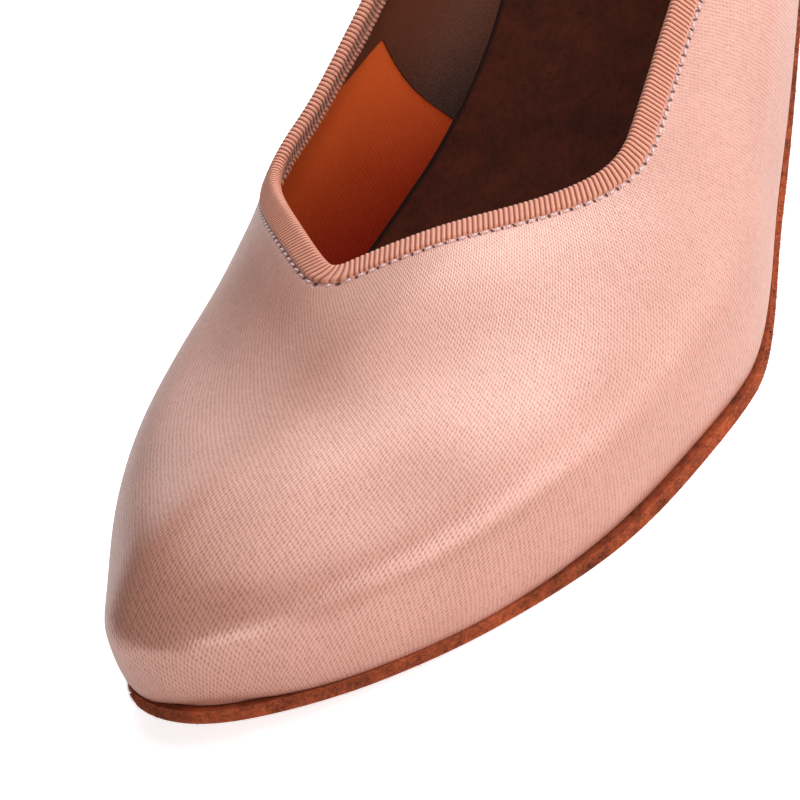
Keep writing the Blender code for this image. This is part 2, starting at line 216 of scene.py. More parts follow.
def closed_spline(s: np.ndarray, values: np.ndarray, at: np.ndarray) -> np.ndarray:
    """Reads a periodic cubic spline of period 1.

    Args:
        s: Places of the knots.
        values: Values at the knots.
        at: Places to read.

    Returns:
        The values at those places.
    """
    count = len(s)
    step = np.diff(np.append(s, s[0] + 1.0))
    matrix = np.zeros((count, count))
    bend = np.zeros(count)
    for i in range(count):
        after = (i + 1) % count
        matrix[i, i - 1] += step[i - 1] / 6
        matrix[i, i] += (step[i - 1] + step[i]) / 3
        matrix[i, after] += step[i] / 6
        bend[i] = (values[after] - values[i]) / step[i] - (values[i] - values[i - 1]) / step[i - 1]
    moment = np.linalg.solve(matrix, bend)
    at = np.mod(at - s[0], 1.0) + s[0]
    k = np.clip(np.searchsorted(s, at, side="right") - 1, 0, count - 1)
    after = (k + 1) % count
    a = (s[k] + step[k] - at) / step[k]
    b = 1.0 - a
    cubic = (a**3 - a) * moment[k] + (b**3 - b) * moment[after]
    return a * values[k] + b * values[after] + cubic * step[k]**2 / 6


def steady_curve(x: np.ndarray, y: np.ndarray, at: np.ndarray) -> np.ndarray:
    """Reads a cubic that keeps flat stretches flat and never overshoots its rows.

    Args:
        x: Places of the rows.
        y: Values of the rows.
        at: Places to read.

    Returns:
        The values at those places.
    """
    step = np.diff(x)
    rate = np.diff(y) / step
    slope = np.zeros(len(x))
    slope[0] = rate[0]
    slope[-1] = rate[-1]
    for i in range(1, len(x) - 1):
        if rate[i - 1] * rate[i] > 0:
            before = 2 * step[i] + step[i - 1]
            behind = step[i] + 2 * step[i - 1]
            slope[i] = (before + behind) / (before / rate[i - 1] + behind / rate[i])
    inside = np.clip(at, x[0], x[-1])
    k = np.clip(np.searchsorted(x, inside, side="right") - 1, 0, len(x) - 2)
    t = (inside - x[k]) / step[k]
    value = (1 + 2 * t) * (1 - t)**2 * y[k] + t * (1 - t)**2 * step[k] * slope[k]
    value += t * t * (3 - 2 * t) * y[k + 1] - t * t * (1 - t) * step[k] * slope[k + 1]
    end_slope = np.where(at < x[0], slope[0], slope[-1])
    return value + end_slope * (at - inside)


def soft_ramp(x: np.ndarray, width: float) -> np.ndarray:
    """Zero well below x = 0 and x itself well above it, with a smooth turn of that width."""
    return width * np.logaddexp(0.0, x / width)


def bezier(points: Sequence[np.ndarray], t: np.ndarray) -> np.ndarray:
    """Reads a cubic Bezier curve.

    Args:
        points: Its four control points, which may be arrays of points.
        t: Where to read, from 0 to 1, with a trailing axis of 1 where it is an array.

    Returns:
        The point or points.
    """
    p0, p1, p2, p3 = points
    s = 1.0 - t
    return s**3 * p0 + 3 * s * s * t * p1 + 3 * s * t * t * p2 + t**3 * p3


def unit(vectors: np.ndarray) -> np.ndarray:
    """Vectors along the last axis, each brought to length 1."""
    return vectors / np.maximum(np.linalg.norm(vectors, axis=-1, keepdims=True), 1e-12)


@dataclass(frozen=True)
class Last:
    """The form that the shoe is made on: a feather line and ribs that rise over it to a spine."""

    length: float = 0.2326
    ball_width: float = 0.0724
    instep_height: float = 0.0760
    heel_height: float = 0.0522
    toe_spring: float = 0.0036
    throat: float = 0.0671
    breast: float = 0.1850
    sole_thickness: float = 0.0018
    wall: float = 0.0016
    gap: float = 0.0003
    throat_round: float = 0.0026
    v_outer: float = 1.38
    v_inner: float = 0.99
    corner: float = 0.095
    spine_end: float = 0.2030
    spine_ease: float = 0.0090
    side_full: float = 0.49
    top_full: float = 0.41
    tuck_out: float = 0.55
    tuck_up: float = 0.12
    tuck_top: float = 0.50
    end_crowding: float = 0.25
    frame_columns: int = 84
    frame_rows: int = 10

    def sole_height(self, along: np.ndarray) -> np.ndarray:
        """Height of the sole's lower face at places along the shoe.

        Args:
            along: The places, in metres from the toe.

        Returns:
            The heights.
        """
        x = column(BOTTOM, "along", self.length)
        rise = column(BOTTOM, "spring", self.toe_spring) + column(BOTTOM, "arch", self.heel_height)
        return steady_curve(x, rise, along)

    def over_sole(self, along: np.ndarray, distance: float | np.ndarray) -> np.ndarray:
        """Height of a face that lies a distance above the sole's lower face, square to its slope.

        Args:
            along: Places along the shoe.
            distance: How far above, for all or for each place.

        Returns:
            The heights.
        """
        small = 1e-4
        slope = (self.sole_height(along + small) - self.sole_height(along - small)) / (2 * small)
        return self.sole_height(along) + distance * np.hypot(1.0, slope)

    def stations(self) -> np.ndarray:
        """Parameter of each table row round the closed outline, equal on both sides.

        Returns:
            The parameters, the outer side's first.
        """
        along = column(SECTIONS, "along", self.length)
        steps = np.zeros(len(SECTIONS) - 1)
        for side in ("outer", "inner"):
            across = column(SECTIONS, side, self.ball_width)
            steps += np.hypot(np.diff(across), np.diff(along)) / 2
        half = np.concatenate([[0.0], np.cumsum(steps)]) / (2 * steps.sum())
        return np.concatenate([half, 1.0 - half[-2:0:-1]])

    def loop(self, outer: str, inner: str, scale: float, at: np.ndarray) -> np.ndarray:
        """Reads a pair of table columns as one periodic curve, the outer side first.

        Args:
            outer: Column of the outer side.
            inner: Column of the inner side.
            scale: A factor on the values.
            at: Parameters round the outline: 0 at the toe's tip, 0.5 at the heel's back.

        Returns:
            The values at those parameters.
        """
        values = np.concatenate([column(SECTIONS, outer, scale), column(SECTIONS, inner, scale)[-2:0:-1]])
        return closed_spline(self.stations(), values, at)

    def crowded(self, even: np.ndarray) -> np.ndarray:
        """Parameters that lie closer together at toe and heel than along the sides."""
        return even - self.end_crowding * np.sin(4 * math.pi * even) / (4 * math.pi)

    def outline(self, at: np.ndarray, outset: float = 0.0) -> np.ndarray:
        """Plan points (x, y) of the feather line, moved outwards by a distance.

        Args:
            at: Parameters round the outline.
            outset: The distance.

        Returns:
            The points.
        """
        small = 1e-4
        shifts = (0.0, -small, small)
        x, x_before, x_after = (self.loop("outer", "inner", self.ball_width, at + d) for d in shifts)
        y, y_before, y_after = (self.loop("along", "along", self.length, at + d) for d in shifts)
        normal = unit(np.stack([y_after - y_before, x_before - x_after], axis=1))
        return np.stack([x, y], axis=1) + outset * normal

    def lifted(self, plan: np.ndarray, distance: float | np.ndarray) -> np.ndarray:
        """Plan points raised to a distance above the sole's lower face, in the frame's place."""
        points = np.column_stack([plan, self.over_sole(plan[:, 1], distance)])
        return points - self.centre()

    def between(self, outer: np.ndarray, inner: np.ndarray, blend: np.ndarray,
                distance: float) -> np.ndarray:
        """Spans a face between two edges.

        Args:
            outer: Plan points along the outer edge.
            inner: Plan points along the inner edge.
            blend: Shares of the way from the outer edge to the inner one.
            distance: The face's distance above the sole's lower face.

        Returns:
            Rows of points, one for each share.
        """
        return np.stack([self.lifted(outer * (1.0 - t) + inner * t, distance) for t in blend])

    @functools.cache
    def centre(self) -> np.ndarray:
        """Offset from the last's own origin to the frame's, from the box of the upper's solid.

        Returns:
            The offset, with no rise.
        """
        ribs = Ribs(self, self.crowded(np.arange(self.frame_columns) / self.frame_columns))
        rows = [bezier(ribs.low, t) for t in np.linspace(0.0, 1.0, 4)]
        rows += [bezier(ribs.high, ribs.cut[:, None] * t) for t in np.linspace(0.0, 1.0, self.frame_rows + 1)]
        points = np.concatenate(rows)
        low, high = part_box("upper")
        middle = (points.min(axis=0) + points.max(axis=0) - np.array(low) - np.array(high)) / 2
        return np.array([middle[0], middle[1], 0.0])



class Ribs:
    """The last's ribs at given parameters: feather line, widest line and spine."""

    def __init__(self, last: Last, at: np.ndarray) -> None:
        """Works out the control points of every rib.

        Args:
            last: The last that the ribs belong to.
            at: Parameters round the outline.
        """
        self.last = last
        self.at = np.mod(at, 1.0)
        plan = last.outline(self.at)
        along = plan[:, 1]
        feather = np.column_stack([plan, last.over_sole(along, last.sole_thickness + last.gap)])
        spine_along = last.throat + soft_ramp(along - last.throat, last.spine_ease)
        spine_along = last.spine_end - soft_ramp(last.spine_end - spine_along, last.spine_ease)
        places = column(SPINE, "along", last.length)
        height, slope = natural_spline(places, column(SPINE, "height", last.instep_height), spine_along)
        side = natural_spline(places, column(SPINE, "side", MM), spine_along)[0]
        self.spine_along = spine_along
        self.spine = np.column_stack([side, spine_along, height])
        reach = feather[:, :2] - self.spine[:, :2]
        span = np.linalg.norm(reach, axis=1)[:, None]
        outward = np.column_stack([reach / span, np.zeros(len(at))])
        bulge = last.loop("bulge_out", "bulge_in", MM, self.at)[:, None]
        wide = last.loop("wide_out", "wide_in", MM, self.at)[:, None]
        widest = feather + outward * bulge + UP * wide
        self.low = (feather,
                    feather + outward * bulge * last.tuck_out + UP * wide * last.tuck_up,
                    widest - UP * wide * last.tuck_top,
                    widest)
        rise = (self.spine - widest)[:, 2:]
        over = outward + UP * (slope * outward[:, 1])[:, None]
        self.high = (widest,
                     widest + UP * rise * last.side_full,
                     self.spine + over * (span + bulge) * last.top_full,
                     self.spine)
        self.cut = self.topline_cut()

    def topline_cut(self) -> np.ndarray:
        """Share of each upper rib that is kept: the V of the throat, then the quarter's trim.

        Returns:
            The shares.
        """
        last = self.last
        spread = np.where(self.at <= 0.5, last.v_outer, last.v_inner)
        arm = last.throat_round + spread * (self.spine_along - last.throat)
        steps = np.linspace(0.0, 1.0, 200)
        plan = np.stack([bezier(self.high, t)[:, :2] for t in steps], axis=1)
        away = np.linalg.norm(plan - self.spine[:, None, :2], axis=2)
        at_arm = np.array([np.interp(-arm[i], -away[i], steps) for i in range(len(arm))])
        at_arm = np.where(arm > away[:, 0], 1.0 - arm / away[:, 0], at_arm)
        trim = last.loop("trim_out", "trim_in", 1.0, self.at)
        return trim + soft_ramp(at_arm - trim, last.corner)

    def surface(self, shares: Sequence[float]) -> np.ndarray:
        """Points of the outer face in the frame's place.

        Args:
            shares: Heights up the wall: 0 at the feather line, WIDEST_SHARE at the widest line and 1 at
                the edge.

        Returns:
            An array of rows, columns and coordinates.
        """
        rows = []
        for share in shares:
            if share <= WIDEST_SHARE:
                rows.append(bezier(self.low, share / WIDEST_SHARE))
            else:
                climbed = (share - WIDEST_SHARE) / (1.0 - WIDEST_SHARE)
                rows.append(bezier(self.high, self.cut[:, None] * climbed))
        return np.stack(rows) - self.last.centre()


def wall_normals(surface: np.ndarray, closed: bool) -> np.ndarray:
    """Outward normals of rows of wall points.

    Args:
        surface: Rows from the sole upwards, columns anticlockwise seen from above.
        closed: Whether the last column repeats the first.

    Returns:
        Unit normals, one for each point.
    """
    if closed:
        ring = surface[:, :-1]
        along = np.roll(ring, -1, axis=1) - np.roll(ring, 1, axis=1)
        along = np.concatenate([along, along[:, :1]], axis=1)
    else:
        along = np.gradient(surface, axis=1)
    return unit(np.cross(along, np.gradient(surface, axis=0)))


@dataclass(frozen=True)
class Crease:
    """A soft trough or, with a negative depth, a ridge in the satin, in millimetres of the frame."""

    name: str
    place: tuple[float, float, float]
    length: float
    width: float
    heading: float
    depth: float
    tall: float = 30.0

    def push(self, points: np.ndarray) -> np.ndarray:
        """How far the crease pushes the satin outwards along its normal.

        Args:
            points: Places on the satin, in metres.

        Returns:
            A distance in metres for each of them.
        """
        turn = math.radians(self.heading)
        dx, dy, dz = np.moveaxis(points / MM - np.array(self.place), -1, 0)
        run = (dx * math.cos(turn) + dy * math.sin(turn)) / self.length
        side = (dy * math.cos(turn) - dx * math.sin(turn)) / self.width
        return -self.depth * MM * np.exp(-run**2 - side**2 - (dz / self.tall)**2)


CREASES = (
    Crease("trough beside the throat", (-20, -56, 31), 25, 6, 130, 1.0),
    Crease("swell of the outer wall", (9, -94, 12), 45, 14, 15, -1.0),
    Crease("hollow behind the toes", (-18, -72, 29), 18, 9, 120, 2.0),
    Crease("swell over the inner joint", (-26, -59, 28), 24, 13, 90, -1.5),
    Crease("dent over the tip", (-4, -118, 15), 8, 6, 5, 1.0),
    Crease("ridge over the big toe", (-15, -107, 20), 20, 6, 70, -1.0),
    Crease("ridge in front of the throat", (6, -56, 28), 18, 9, 55, -2.0),
    Crease("fold at the inner joint", (-27, -60, 31), 13, 6, 105, 1.5),
    Crease("flat of the outer side", (22, -58, 32), 45, 24, 5, 1.5),
    Crease("trough along the inner toe", (-25, -105, 26), 24, 6, 130, 1.5),
    Crease("dimple over the small toes", (13, -93, 25), 12, 6, 50, 1.0),
    Crease("flare of the inner arm", (-31, -19, 33), 9, 8, 70, -1.0, 8.0),
    Crease("sink of the outer arm", (14, -35, 35), 12, 7, 50, 1.0),
)


@dataclass(frozen=True)
class Form:
    """The pulled-over wall: the last's ribs with the creases that the worn satin shows."""

    last: Last
    creases: tuple[Crease, ...] = ()

    def wall(self, at: np.ndarray, shares: Sequence[float],
             closed: bool = False) -> tuple[np.ndarray, np.ndarray]:
        """Points and outward normals of the outer face.

        Args:
            at: Parameters round the outline.
            shares: Heights up the wall, at least three.
            closed: Whether the last column repeats the first.

        Returns:
            Two arrays of rows, columns and coordinates.
        """
        surface = Ribs(self.last, at).surface(shares)
        normals = wall_normals(surface, closed)
        push = sum((c.push(surface) for c in self.creases), np.zeros(surface.shape[:2]))
        surface = surface + normals * push[..., None]
        return surface, wall_normals(surface, closed)

    def line(self, at: np.ndarray, share: float) -> tuple[np.ndarray, np.ndarray]:
        """Points and normals of one row at a height up the wall.

        Args:
            at: Parameters round the outline.
            share: The height, as a share of the wall.

        Returns:
            The points and their outward normals.
        """
        step = 0.01
        near = (max(share - step, 0.0), share, share + step)
        surface, normals = self.wall(at, near)
        return surface[1], normals[1]


def linked(name: str, data: bpy.types.ID) -> bpy.types.Object:
    """Adds an object to the scene.

    Args:
        name: Its name.
        data: Its mesh, light or camera.

    Returns:
        The object.
    """
    piece = bpy.data.objects.new(name, data)
    bpy.context.scene.collection.objects.link(piece)
    return piece


def only(piece: bpy.types.Object) -> None:
    """Makes one object the selected and active one.

    Args:
        piece: The object.
    """
    bpy.ops.object.select_all(action="DESELECT")
    piece.select_set(True)
    bpy.context.view_layer.objects.active = piece


def in_edit_mode(piece: bpy.types.Object, work: Callable[[], None]) -> None:
    """Runs operators on the whole mesh of a piece in edit mode.

    Args:
        piece: The object to edit.
        work: Calls the operators.
    """
    only(piece)
    bpy.ops.object.mode_set(mode="EDIT")
    bpy.ops.mesh.select_all(action="SELECT")
    work()
    bpy.ops.object.mode_set(mode="OBJECT")


def weld(piece: bpy.types.Object) -> None:
    """Closes seams and poles by merging points that lie in one place."""
    in_edit_mode(piece, lambda: bpy.ops.mesh.remove_doubles(threshold=2e-6))


def apply_modifier(piece: bpy.types.Object, kind: str, **settings: float | str | bool) -> None:
    """Adds a modifier, sets it and applies it.

    Args:
        piece: The object to change.
        kind: The modifier's type.
        **settings: Its values.
    """
    only(piece)
    bpy.ops.object.modifier_add(type=kind)
    modifier = piece.modifiers[-1]
    for name, value in settings.items():
        setattr(modifier, name, value)
    bpy.ops.object.modifier_apply(modifier=modifier.name)


def smooth(piece: bpy.types.Object, angle: float = 40.0) -> None:
    """Shades a piece smooth where its faces meet at less than an angle in degrees."""
    only(piece)
    bpy.ops.object.shade_smooth_by_angle(angle=math.radians(angle))


def corner_vertices(mesh: bpy.types.Mesh) -> np.ndarray:
    """Reads which vertex stands at each face corner.

    Args:
        mesh: The mesh.

    Returns:
        The vertices' indices.
    """
    corner = np.empty(len(mesh.loops), dtype=np.int32)
    mesh.loops.foreach_get("vertex_index", corner)
    return corner


def draped(name: str, surface: np.ndarray, maps: dict[str, np.ndarray]) -> bpy.types.Object:
    """Adds a grid and lays its points on a surface.

    Args:
        name: The new object's name.
        surface: Rows and columns of points; seen from the side it faces, columns run to the
            right where rows run up.
        maps: A table of UV places, of the same rows and columns, for each named UV map.

    Returns:
        The object, at the origin, with its place in its mesh.
    """
    rows, columns = surface.shape[:2]
    bpy.ops.mesh.primitive_grid_add(x_subdivisions=columns - 1, y_subdivisions=rows - 1, size=1.0)
    piece = bpy.context.object
    piece.name = name
    mesh = piece.data
    mesh.name = name
    flat = np.empty(len(mesh.vertices) * 3)
    mesh.vertices.foreach_get("co", flat)
    place = flat.reshape(-1, 3)
    across = np.rint((place[:, 0] + 0.5) * (columns - 1)).astype(int)
    up = np.rint((place[:, 1] + 0.5) * (rows - 1)).astype(int)
    mesh.vertices.foreach_set("co", surface[up, across].ravel())
    corner = corner_vertices(mesh)
    for map_name, table in maps.items():
        first = mesh.uv_layers[0]
        layer = first if first.name == "UVMap" else mesh.uv_layers.new(name=map_name)
        layer.name = map_name
        mesh.uv_layers[map_name].uv.foreach_set("vector", table[up[corner], across[corner]].ravel())
    mesh.update()
    return piece


def arc_table(surface: np.ndarray) -> np.ndarray:
    """Lays a surface out by its own lengths.

    Args:
        surface: Rows and columns of points.

    Returns:
        UV places in metres: the distance along each row, from its first column, and up each column.
    """
    along = np.linalg.norm(np.diff(surface, axis=1), axis=2)
    up = np.linalg.norm(np.diff(surface, axis=0), axis=2)
    u = np.concatenate([np.zeros((len(surface), 1)), np.cumsum(along, axis=1)], axis=1)
    v = np.concatenate([np.zeros((1, surface.shape[1])), np.cumsum(up, axis=0)], axis=0)
    return np.stack([u, v], axis=2)


def scattered_copies(name: str, pattern: bpy.types.Object, places: Sequence[Matrix]) -> bpy.types.Object:
    """Joins many copies of a small modelled piece into one mesh.

    Args:
        name: The new object's name.
        pattern: The small piece, modelled at the origin; it is removed.
        places: Where each copy goes.

    Returns:
        The joined object.
    """
    mesh = pattern.data
    local = np.array([(*v.co, 1.0) for v in mesh.vertices])
    faces = [tuple(p.vertices) for p in mesh.polygons]
    count = len(local)
    points = np.concatenate([(local @ np.array(m).T)[:, :3] for m in places])
    all_faces = [tuple(i + k * count for i in face) for k in range(len(places)) for face in faces]
    joined = bpy.data.meshes.new(name)
    joined.from_pydata(points.tolist(), [], all_faces)
    uv = np.empty(len(mesh.loops) * 2)
    mesh.uv_layers[0].uv.foreach_get("vector", uv)
    joined.uv_layers.new(name="UVMap").uv.foreach_set("vector", np.tile(uv, len(places)))
    joined.shade_smooth()
    bpy.data.objects.remove(pattern, do_unlink=True)
    return linked(name, joined)


def add_map(piece: bpy.types.Object, name: str, table: np.ndarray) -> None:
    """Adds a UV map to a piece made by draped.

    Args:
        piece: The piece.
        name: The map's name.
        table: UV places, of the same rows and columns as its surface.
    """
    layer = piece.data.uv_layers.new(name=name)
    layer.uv.foreach_set("vector", table.reshape(-1, 2)[corner_vertices(piece.data)].ravel())


def slab(name: str, surface: np.ndarray, maps: dict[str, np.ndarray], thickness: float,
         rim: float) -> bpy.types.Object:
    """Makes a flat piece with softened rims from its top or bottom face.

    Args:
        name: The new object's name.
        surface: Rows and columns of points, as for draped.
        maps: UV places, as for draped.
        thickness: How thick it is behind the face.
        rim: Width of the softened rims.

    Returns:
        The closed piece.
    """
    piece = draped(name, surface, maps)
    weld(piece)
    apply_modifier(piece, "SOLIDIFY", thickness=thickness, offset=-1.0, use_quality_normals=True)
    apply_modifier(piece, "BEVEL", width=rim, segments=2, limit_method="ANGLE", angle_limit=math.radians(50))
    smooth(piece)
    return piece


def spread_across(count: int) -> np.ndarray:
    """Shares from 0 to 1 that lie closer together at both ends."""
    return (1.0 - np.cos(math.pi * np.linspace(0.0, 1.0, count))) / 2


def linear(red: float, green: float, blue: float) -> tuple[float, float, float, float]:
    """An sRGB colour from 0 to 255 as the linear colour that a shader takes."""
    shares = [c / 255.0 for c in (red, green, blue)]
    return (*(c / 12.92 if c <= 0.04045 else ((c + 0.055) / 1.055)**2.4 for c in shares), 1.0)


class Sketch:
    """Short calls that build a node tree."""

    def __init__(self, tree: bpy.types.NodeTree) -> None:
        """Works on one node tree."""
        self.tree = tree

    def feed(self, socket: bpy.types.NodeSocket, value: object) -> None:
        """Links a socket to an output, or sets its value.

        Args:
            socket: The input.
            value: An output or a plain value.
        """
        if isinstance(value, bpy.types.NodeSocket):
            self.tree.links.new(value, socket)
        else:
            socket.default_value = value

    def node(self, kind: str, inputs: dict[str, object] | None = None, **settings: object) -> bpy.types.Node:
        """Adds a node.

        Args:
            kind: The node's type.
            inputs: Values or outputs for its named inputs.
            **settings: Its own properties.

        Returns:
            The node.
        """
        made = self.tree.nodes.new(kind)
        for name, value in settings.items():
            setattr(made, name, value)
        for name, value in (inputs or {}).items():
            self.feed(made.inputs[name], value)
        return made

    def math(self, operation: str, *terms: object) -> bpy.types.NodeSocket:
        """Adds a Math node and returns its value.

        Args:
            operation: What it works out.
            *terms: Outputs or numbers.

        Returns:
            Its output.
        """
        made = self.tree.nodes.new("ShaderNodeMath")
        made.operation = operation
        for socket, term in zip(made.inputs, terms):
            self.feed(socket, term)
        return made.outputs[0]

    def wave(self, turns: object) -> bpy.types.NodeSocket:
        """A ridge of height 1 at whole turns that falls to 0 half way between them."""
        swing = self.math("COSINE", self.math("MULTIPLY", turns, 2.0 * math.pi))
        return self.math("MULTIPLY_ADD", swing, 0.5, 0.5)

    def height(self) -> bpy.types.NodeSocket:
        """The place's height above the floor."""
        return self.node("ShaderNodeSeparateXYZ", {"Vector": self.object_place()}).outputs["Z"]

    def blend(self, *parts: tuple[object, float]) -> bpy.types.NodeSocket:
        """Adds up values.

        Args:
            *parts: Each value with its weight.

        Returns:
            The weighted sum.
        """
        (first, weight), *others = parts
        total = self.math("MULTIPLY", first, weight)
        for value, weight in others:
            total = self.math("MULTIPLY_ADD", value, weight, total)
        return total

    def levels(self, value: object, low: float, high: float, first: float = 0.0,
               last: float = 1.0) -> bpy.types.NodeSocket:
        """Turns a range of values smoothly into another."""
        ends = {"Value": value, "From Min": low, "From Max": high, "To Min": first, "To Max": last}
        return self.node("ShaderNodeMapRange", ends, interpolation_type="SMOOTHSTEP").outputs["Result"]

    def tint(self, share: object, low: object, high: object) -> bpy.types.NodeSocket:
        """Blends two colours by a share.

        Args:
            share: How much of the second.
            low: The first colour.
            high: The second colour.

        Returns:
            The colour.
        """
        made = self.tree.nodes.new("ShaderNodeMix")
        made.data_type = "RGBA"
        for index, value in ((0, share), (6, low), (7, high)):
            self.feed(made.inputs[index], value)
        return made.outputs[2]

    def cloud(self, place: object, scale: object, detail: float = 3.0,
              roughness: float = 0.5) -> bpy.types.NodeSocket:
        """Noise from 0 to 1 with a number of lumps to the metre."""
        inputs = {"Vector": place, "Scale": scale, "Detail": detail, "Roughness": roughness}
        return self.node("ShaderNodeTexNoise", inputs).outputs["Fac"]

    def bump(self, height: object, distance: float, strength: float = 1.0,
             under: bpy.types.NodeSocket | None = None) -> bpy.types.NodeSocket:
        """Turns a height from 0 to 1 into a normal, on top of another normal if one is given.

        Args:
            height: The height.
            distance: What a height of 1 stands for, in metres.
            strength: How much of it shows.
            under: The other normal.

        Returns:
            The normal.
        """
        inputs = {"Height": height, "Distance": distance, "Strength": strength}
        if under is not None:
            inputs["Normal"] = under
        return self.node("ShaderNodeBump", inputs).outputs["Normal"]

    def split(self, place: object) -> tuple[bpy.types.NodeSocket, bpy.types.NodeSocket]:
        """The first two coordinates of a place."""
        parts = self.node("ShaderNodeSeparateXYZ", {"Vector": place}).outputs
        return parts["X"], parts["Y"]

    def object_place(self) -> bpy.types.NodeSocket:
        """Object coordinates."""
        return self.node("ShaderNodeTexCoord").outputs["Object"]

    def map_place(self, name: str) -> bpy.types.NodeSocket:
        """Coordinates of a named UV map."""
        return self.node("ShaderNodeUVMap", uv_map=name).outputs["UV"]

    def use(self, group: bpy.types.NodeTree, inputs: dict[str, object]) -> bpy.types.bpy_prop_collection:
        """Places a node group and returns its outputs.

        Args:
            group: The group.
            inputs: Values or outputs for its named inputs.

        Returns:
            Its outputs.
        """
        made = self.node("ShaderNodeGroup", node_tree=group)
        for name, value in inputs.items():
            self.feed(made.inputs[name], value)
        return made.outputs


def new_group(name: str, inputs: Iterable[str],
              outputs: Iterable[str]) -> tuple[Sketch, bpy.types.Node, bpy.types.Node]:
    """Starts a shader node group; an input named Place is a vector and all else is a value.

    Args:
        name: The group's name.
        inputs: Names of its inputs.
        outputs: Names of its outputs.

    Returns:
        A sketch on it, its input node and its output node.
    """
    tree = bpy.data.node_groups.new(name, "ShaderNodeTree")
    for socket in inputs:
        kind = "NodeSocketVector" if socket == "Place" else "NodeSocketFloat"
        tree.interface.new_socket(name=socket, in_out="INPUT", socket_type=kind)
    for socket in outputs:
        tree.interface.new_socket(name=socket, in_out="OUTPUT", socket_type="NodeSocketFloat")
    sketch = Sketch(tree)
    return sketch, sketch.node("NodeGroupInput"), sketch.node("NodeGroupOutput")


def floated_weave() -> bpy.types.NodeTree:
    """Slanting threads that dip in rows, with a dark dash at each dip: satin and twill use it.

    Returns:
        The node group.
    """
    names = ("Place", "Pitch", "Slant", "Dip Pitch", "Dip Slant")
    sketch, given, out = new_group("floated_weave", names, ("Ridge", "Dash"))
    place = given.outputs["Place"]
    x, y = sketch.split(place)
    stray = sketch.cloud(place, 260.0, 2.0)
    uneven = sketch.cloud(place, 1500.0, 2.0)
    waves = []
    for pitch, slant, wander in (("Pitch", "Slant", 1.2), ("Dip Pitch", "Dip Slant", 0.8)):
        cosine = sketch.math("COSINE", given.outputs[slant])
        sine = sketch.math("SINE", given.outputs[slant])
        across = sketch.blend((y, sine), (x, cosine))
        turns = sketch.math("DIVIDE", across, given.outputs[pitch])
        turns = sketch.math("MULTIPLY_ADD", stray, wander, turns)
        waves.append(sketch.wave(sketch.math("MULTIPLY_ADD", uneven, 0.9, turns)))
    thread, crown = waves
    ridge = sketch.blend((crown, 0.40), (thread, 0.60))
    gap = sketch.math("MULTIPLY", sketch.math("SUBTRACT", 1.0, thread), sketch.math("SUBTRACT", 1.0, crown))
    gap = sketch.math("MULTIPLY", gap, sketch.levels(sketch.cloud(place, 900.0, 2.0), 0.30, 0.70, 0.45, 1.35))
    sketch.feed(out.inputs["Ridge"], ridge)
    sketch.feed(out.inputs["Dash"], sketch.levels(gap, 0.15, 0.85))
    return sketch.tree


def soft_mottle() -> bpy.types.NodeTree:
    """Broad and fine unevenness of colour, from 0 to 1 round 0.5.

    Returns:
        The node group.
    """
    sketch, given, out = new_group("soft_mottle", ("Place", "Lumps"), ("Shade",))
    place = given.outputs["Place"]
    broad = sketch.cloud(place, given.outputs["Lumps"], 2.0)
    fine = sketch.cloud(place, sketch.math("MULTIPLY", given.outputs["Lumps"], 14.0), 3.0, 0.6)
    sketch.feed(out.inputs["Shade"], sketch.blend((broad, 0.6), (fine, 0.4)))
    return sketch.tree


def suede_nap() -> bpy.types.NodeTree:
    """Short brushed fibres and small pits: sole, insole and top piece use it.

    Returns:
        The node group.
    """
    sketch, given, out = new_group("suede_nap", ("Place", "Fibres", "Pits"), ("Nap", "Pit"))
    place = given.outputs["Place"]
    brushed = sketch.node("ShaderNodeMapping", {"Vector": place, "Scale": (1.0, 0.45, 1.0)}).outputs["Vector"]
    fibre = sketch.cloud(brushed, given.outputs["Fibres"], 5.0, 0.72)
    tuft = sketch.cloud(place, sketch.math("MULTIPLY", given.outputs["Fibres"], 0.16), 3.0)
    ragged = sketch.node("ShaderNodeTexNoise", {"Vector": place, "Scale": 1400.0, "Detail": 2.0})
    stray = (0.5 * MM, 0.5 * MM, 0.5 * MM)
    strayed = sketch.node("ShaderNodeVectorMath", {0: ragged.outputs["Color"], 1: stray, 2: place},
                          operation="MULTIPLY_ADD").outputs["Vector"]
    cells = {"Vector": strayed, "Scale": given.outputs["Pits"], "Randomness": 1.0}
    from_middle = sketch.node("ShaderNodeTexVoronoi", cells).outputs["Distance"]
    patch = sketch.levels(sketch.cloud(place, 110.0, 2.0), 0.46, 0.62)
    sketch.feed(out.inputs["Nap"], sketch.blend((tuft, 0.4), (fibre, 0.6)))
    pit = sketch.levels(from_middle, 0.06, 0.24, 1.0, 0.0)
    sketch.feed(out.inputs["Pit"], sketch.math("MULTIPLY", pit, patch))
    return sketch.tree


class Weaves:
    """The node groups that several finishes share, each built once."""

    def __init__(self) -> None:
        """Builds the groups."""
        self.weave = floated_weave()
        self.mottle = soft_mottle()
        self.nap = suede_nap()


@dataclass(frozen=True)
class Finish:
    """A finish of the shoe: its name and how rough it is."""

    name: str
    roughness: float

    def start(self, even: dict[str, object]) -> tuple[bpy.types.Material, Sketch, bpy.types.Node]:
        """Makes a material with its shader.

        Args:
            even: Values of the shader's inputs that are the same all over.

        Returns:
            The material, a sketch on its tree and its Principled node.
        """
        made = bpy.data.materials.new(self.name)
        made.use_nodes = True
        shader = made.node_tree.nodes["Principled BSDF"]
        for name, value in {"Roughness": self.roughness, **even}.items():
            shader.inputs[name].default_value = value
        return made, Sketch(made.node_tree), shader

    def make(self, weaves: Weaves) -> bpy.types.Material:
        """Builds the material."""
        raise NotImplementedError


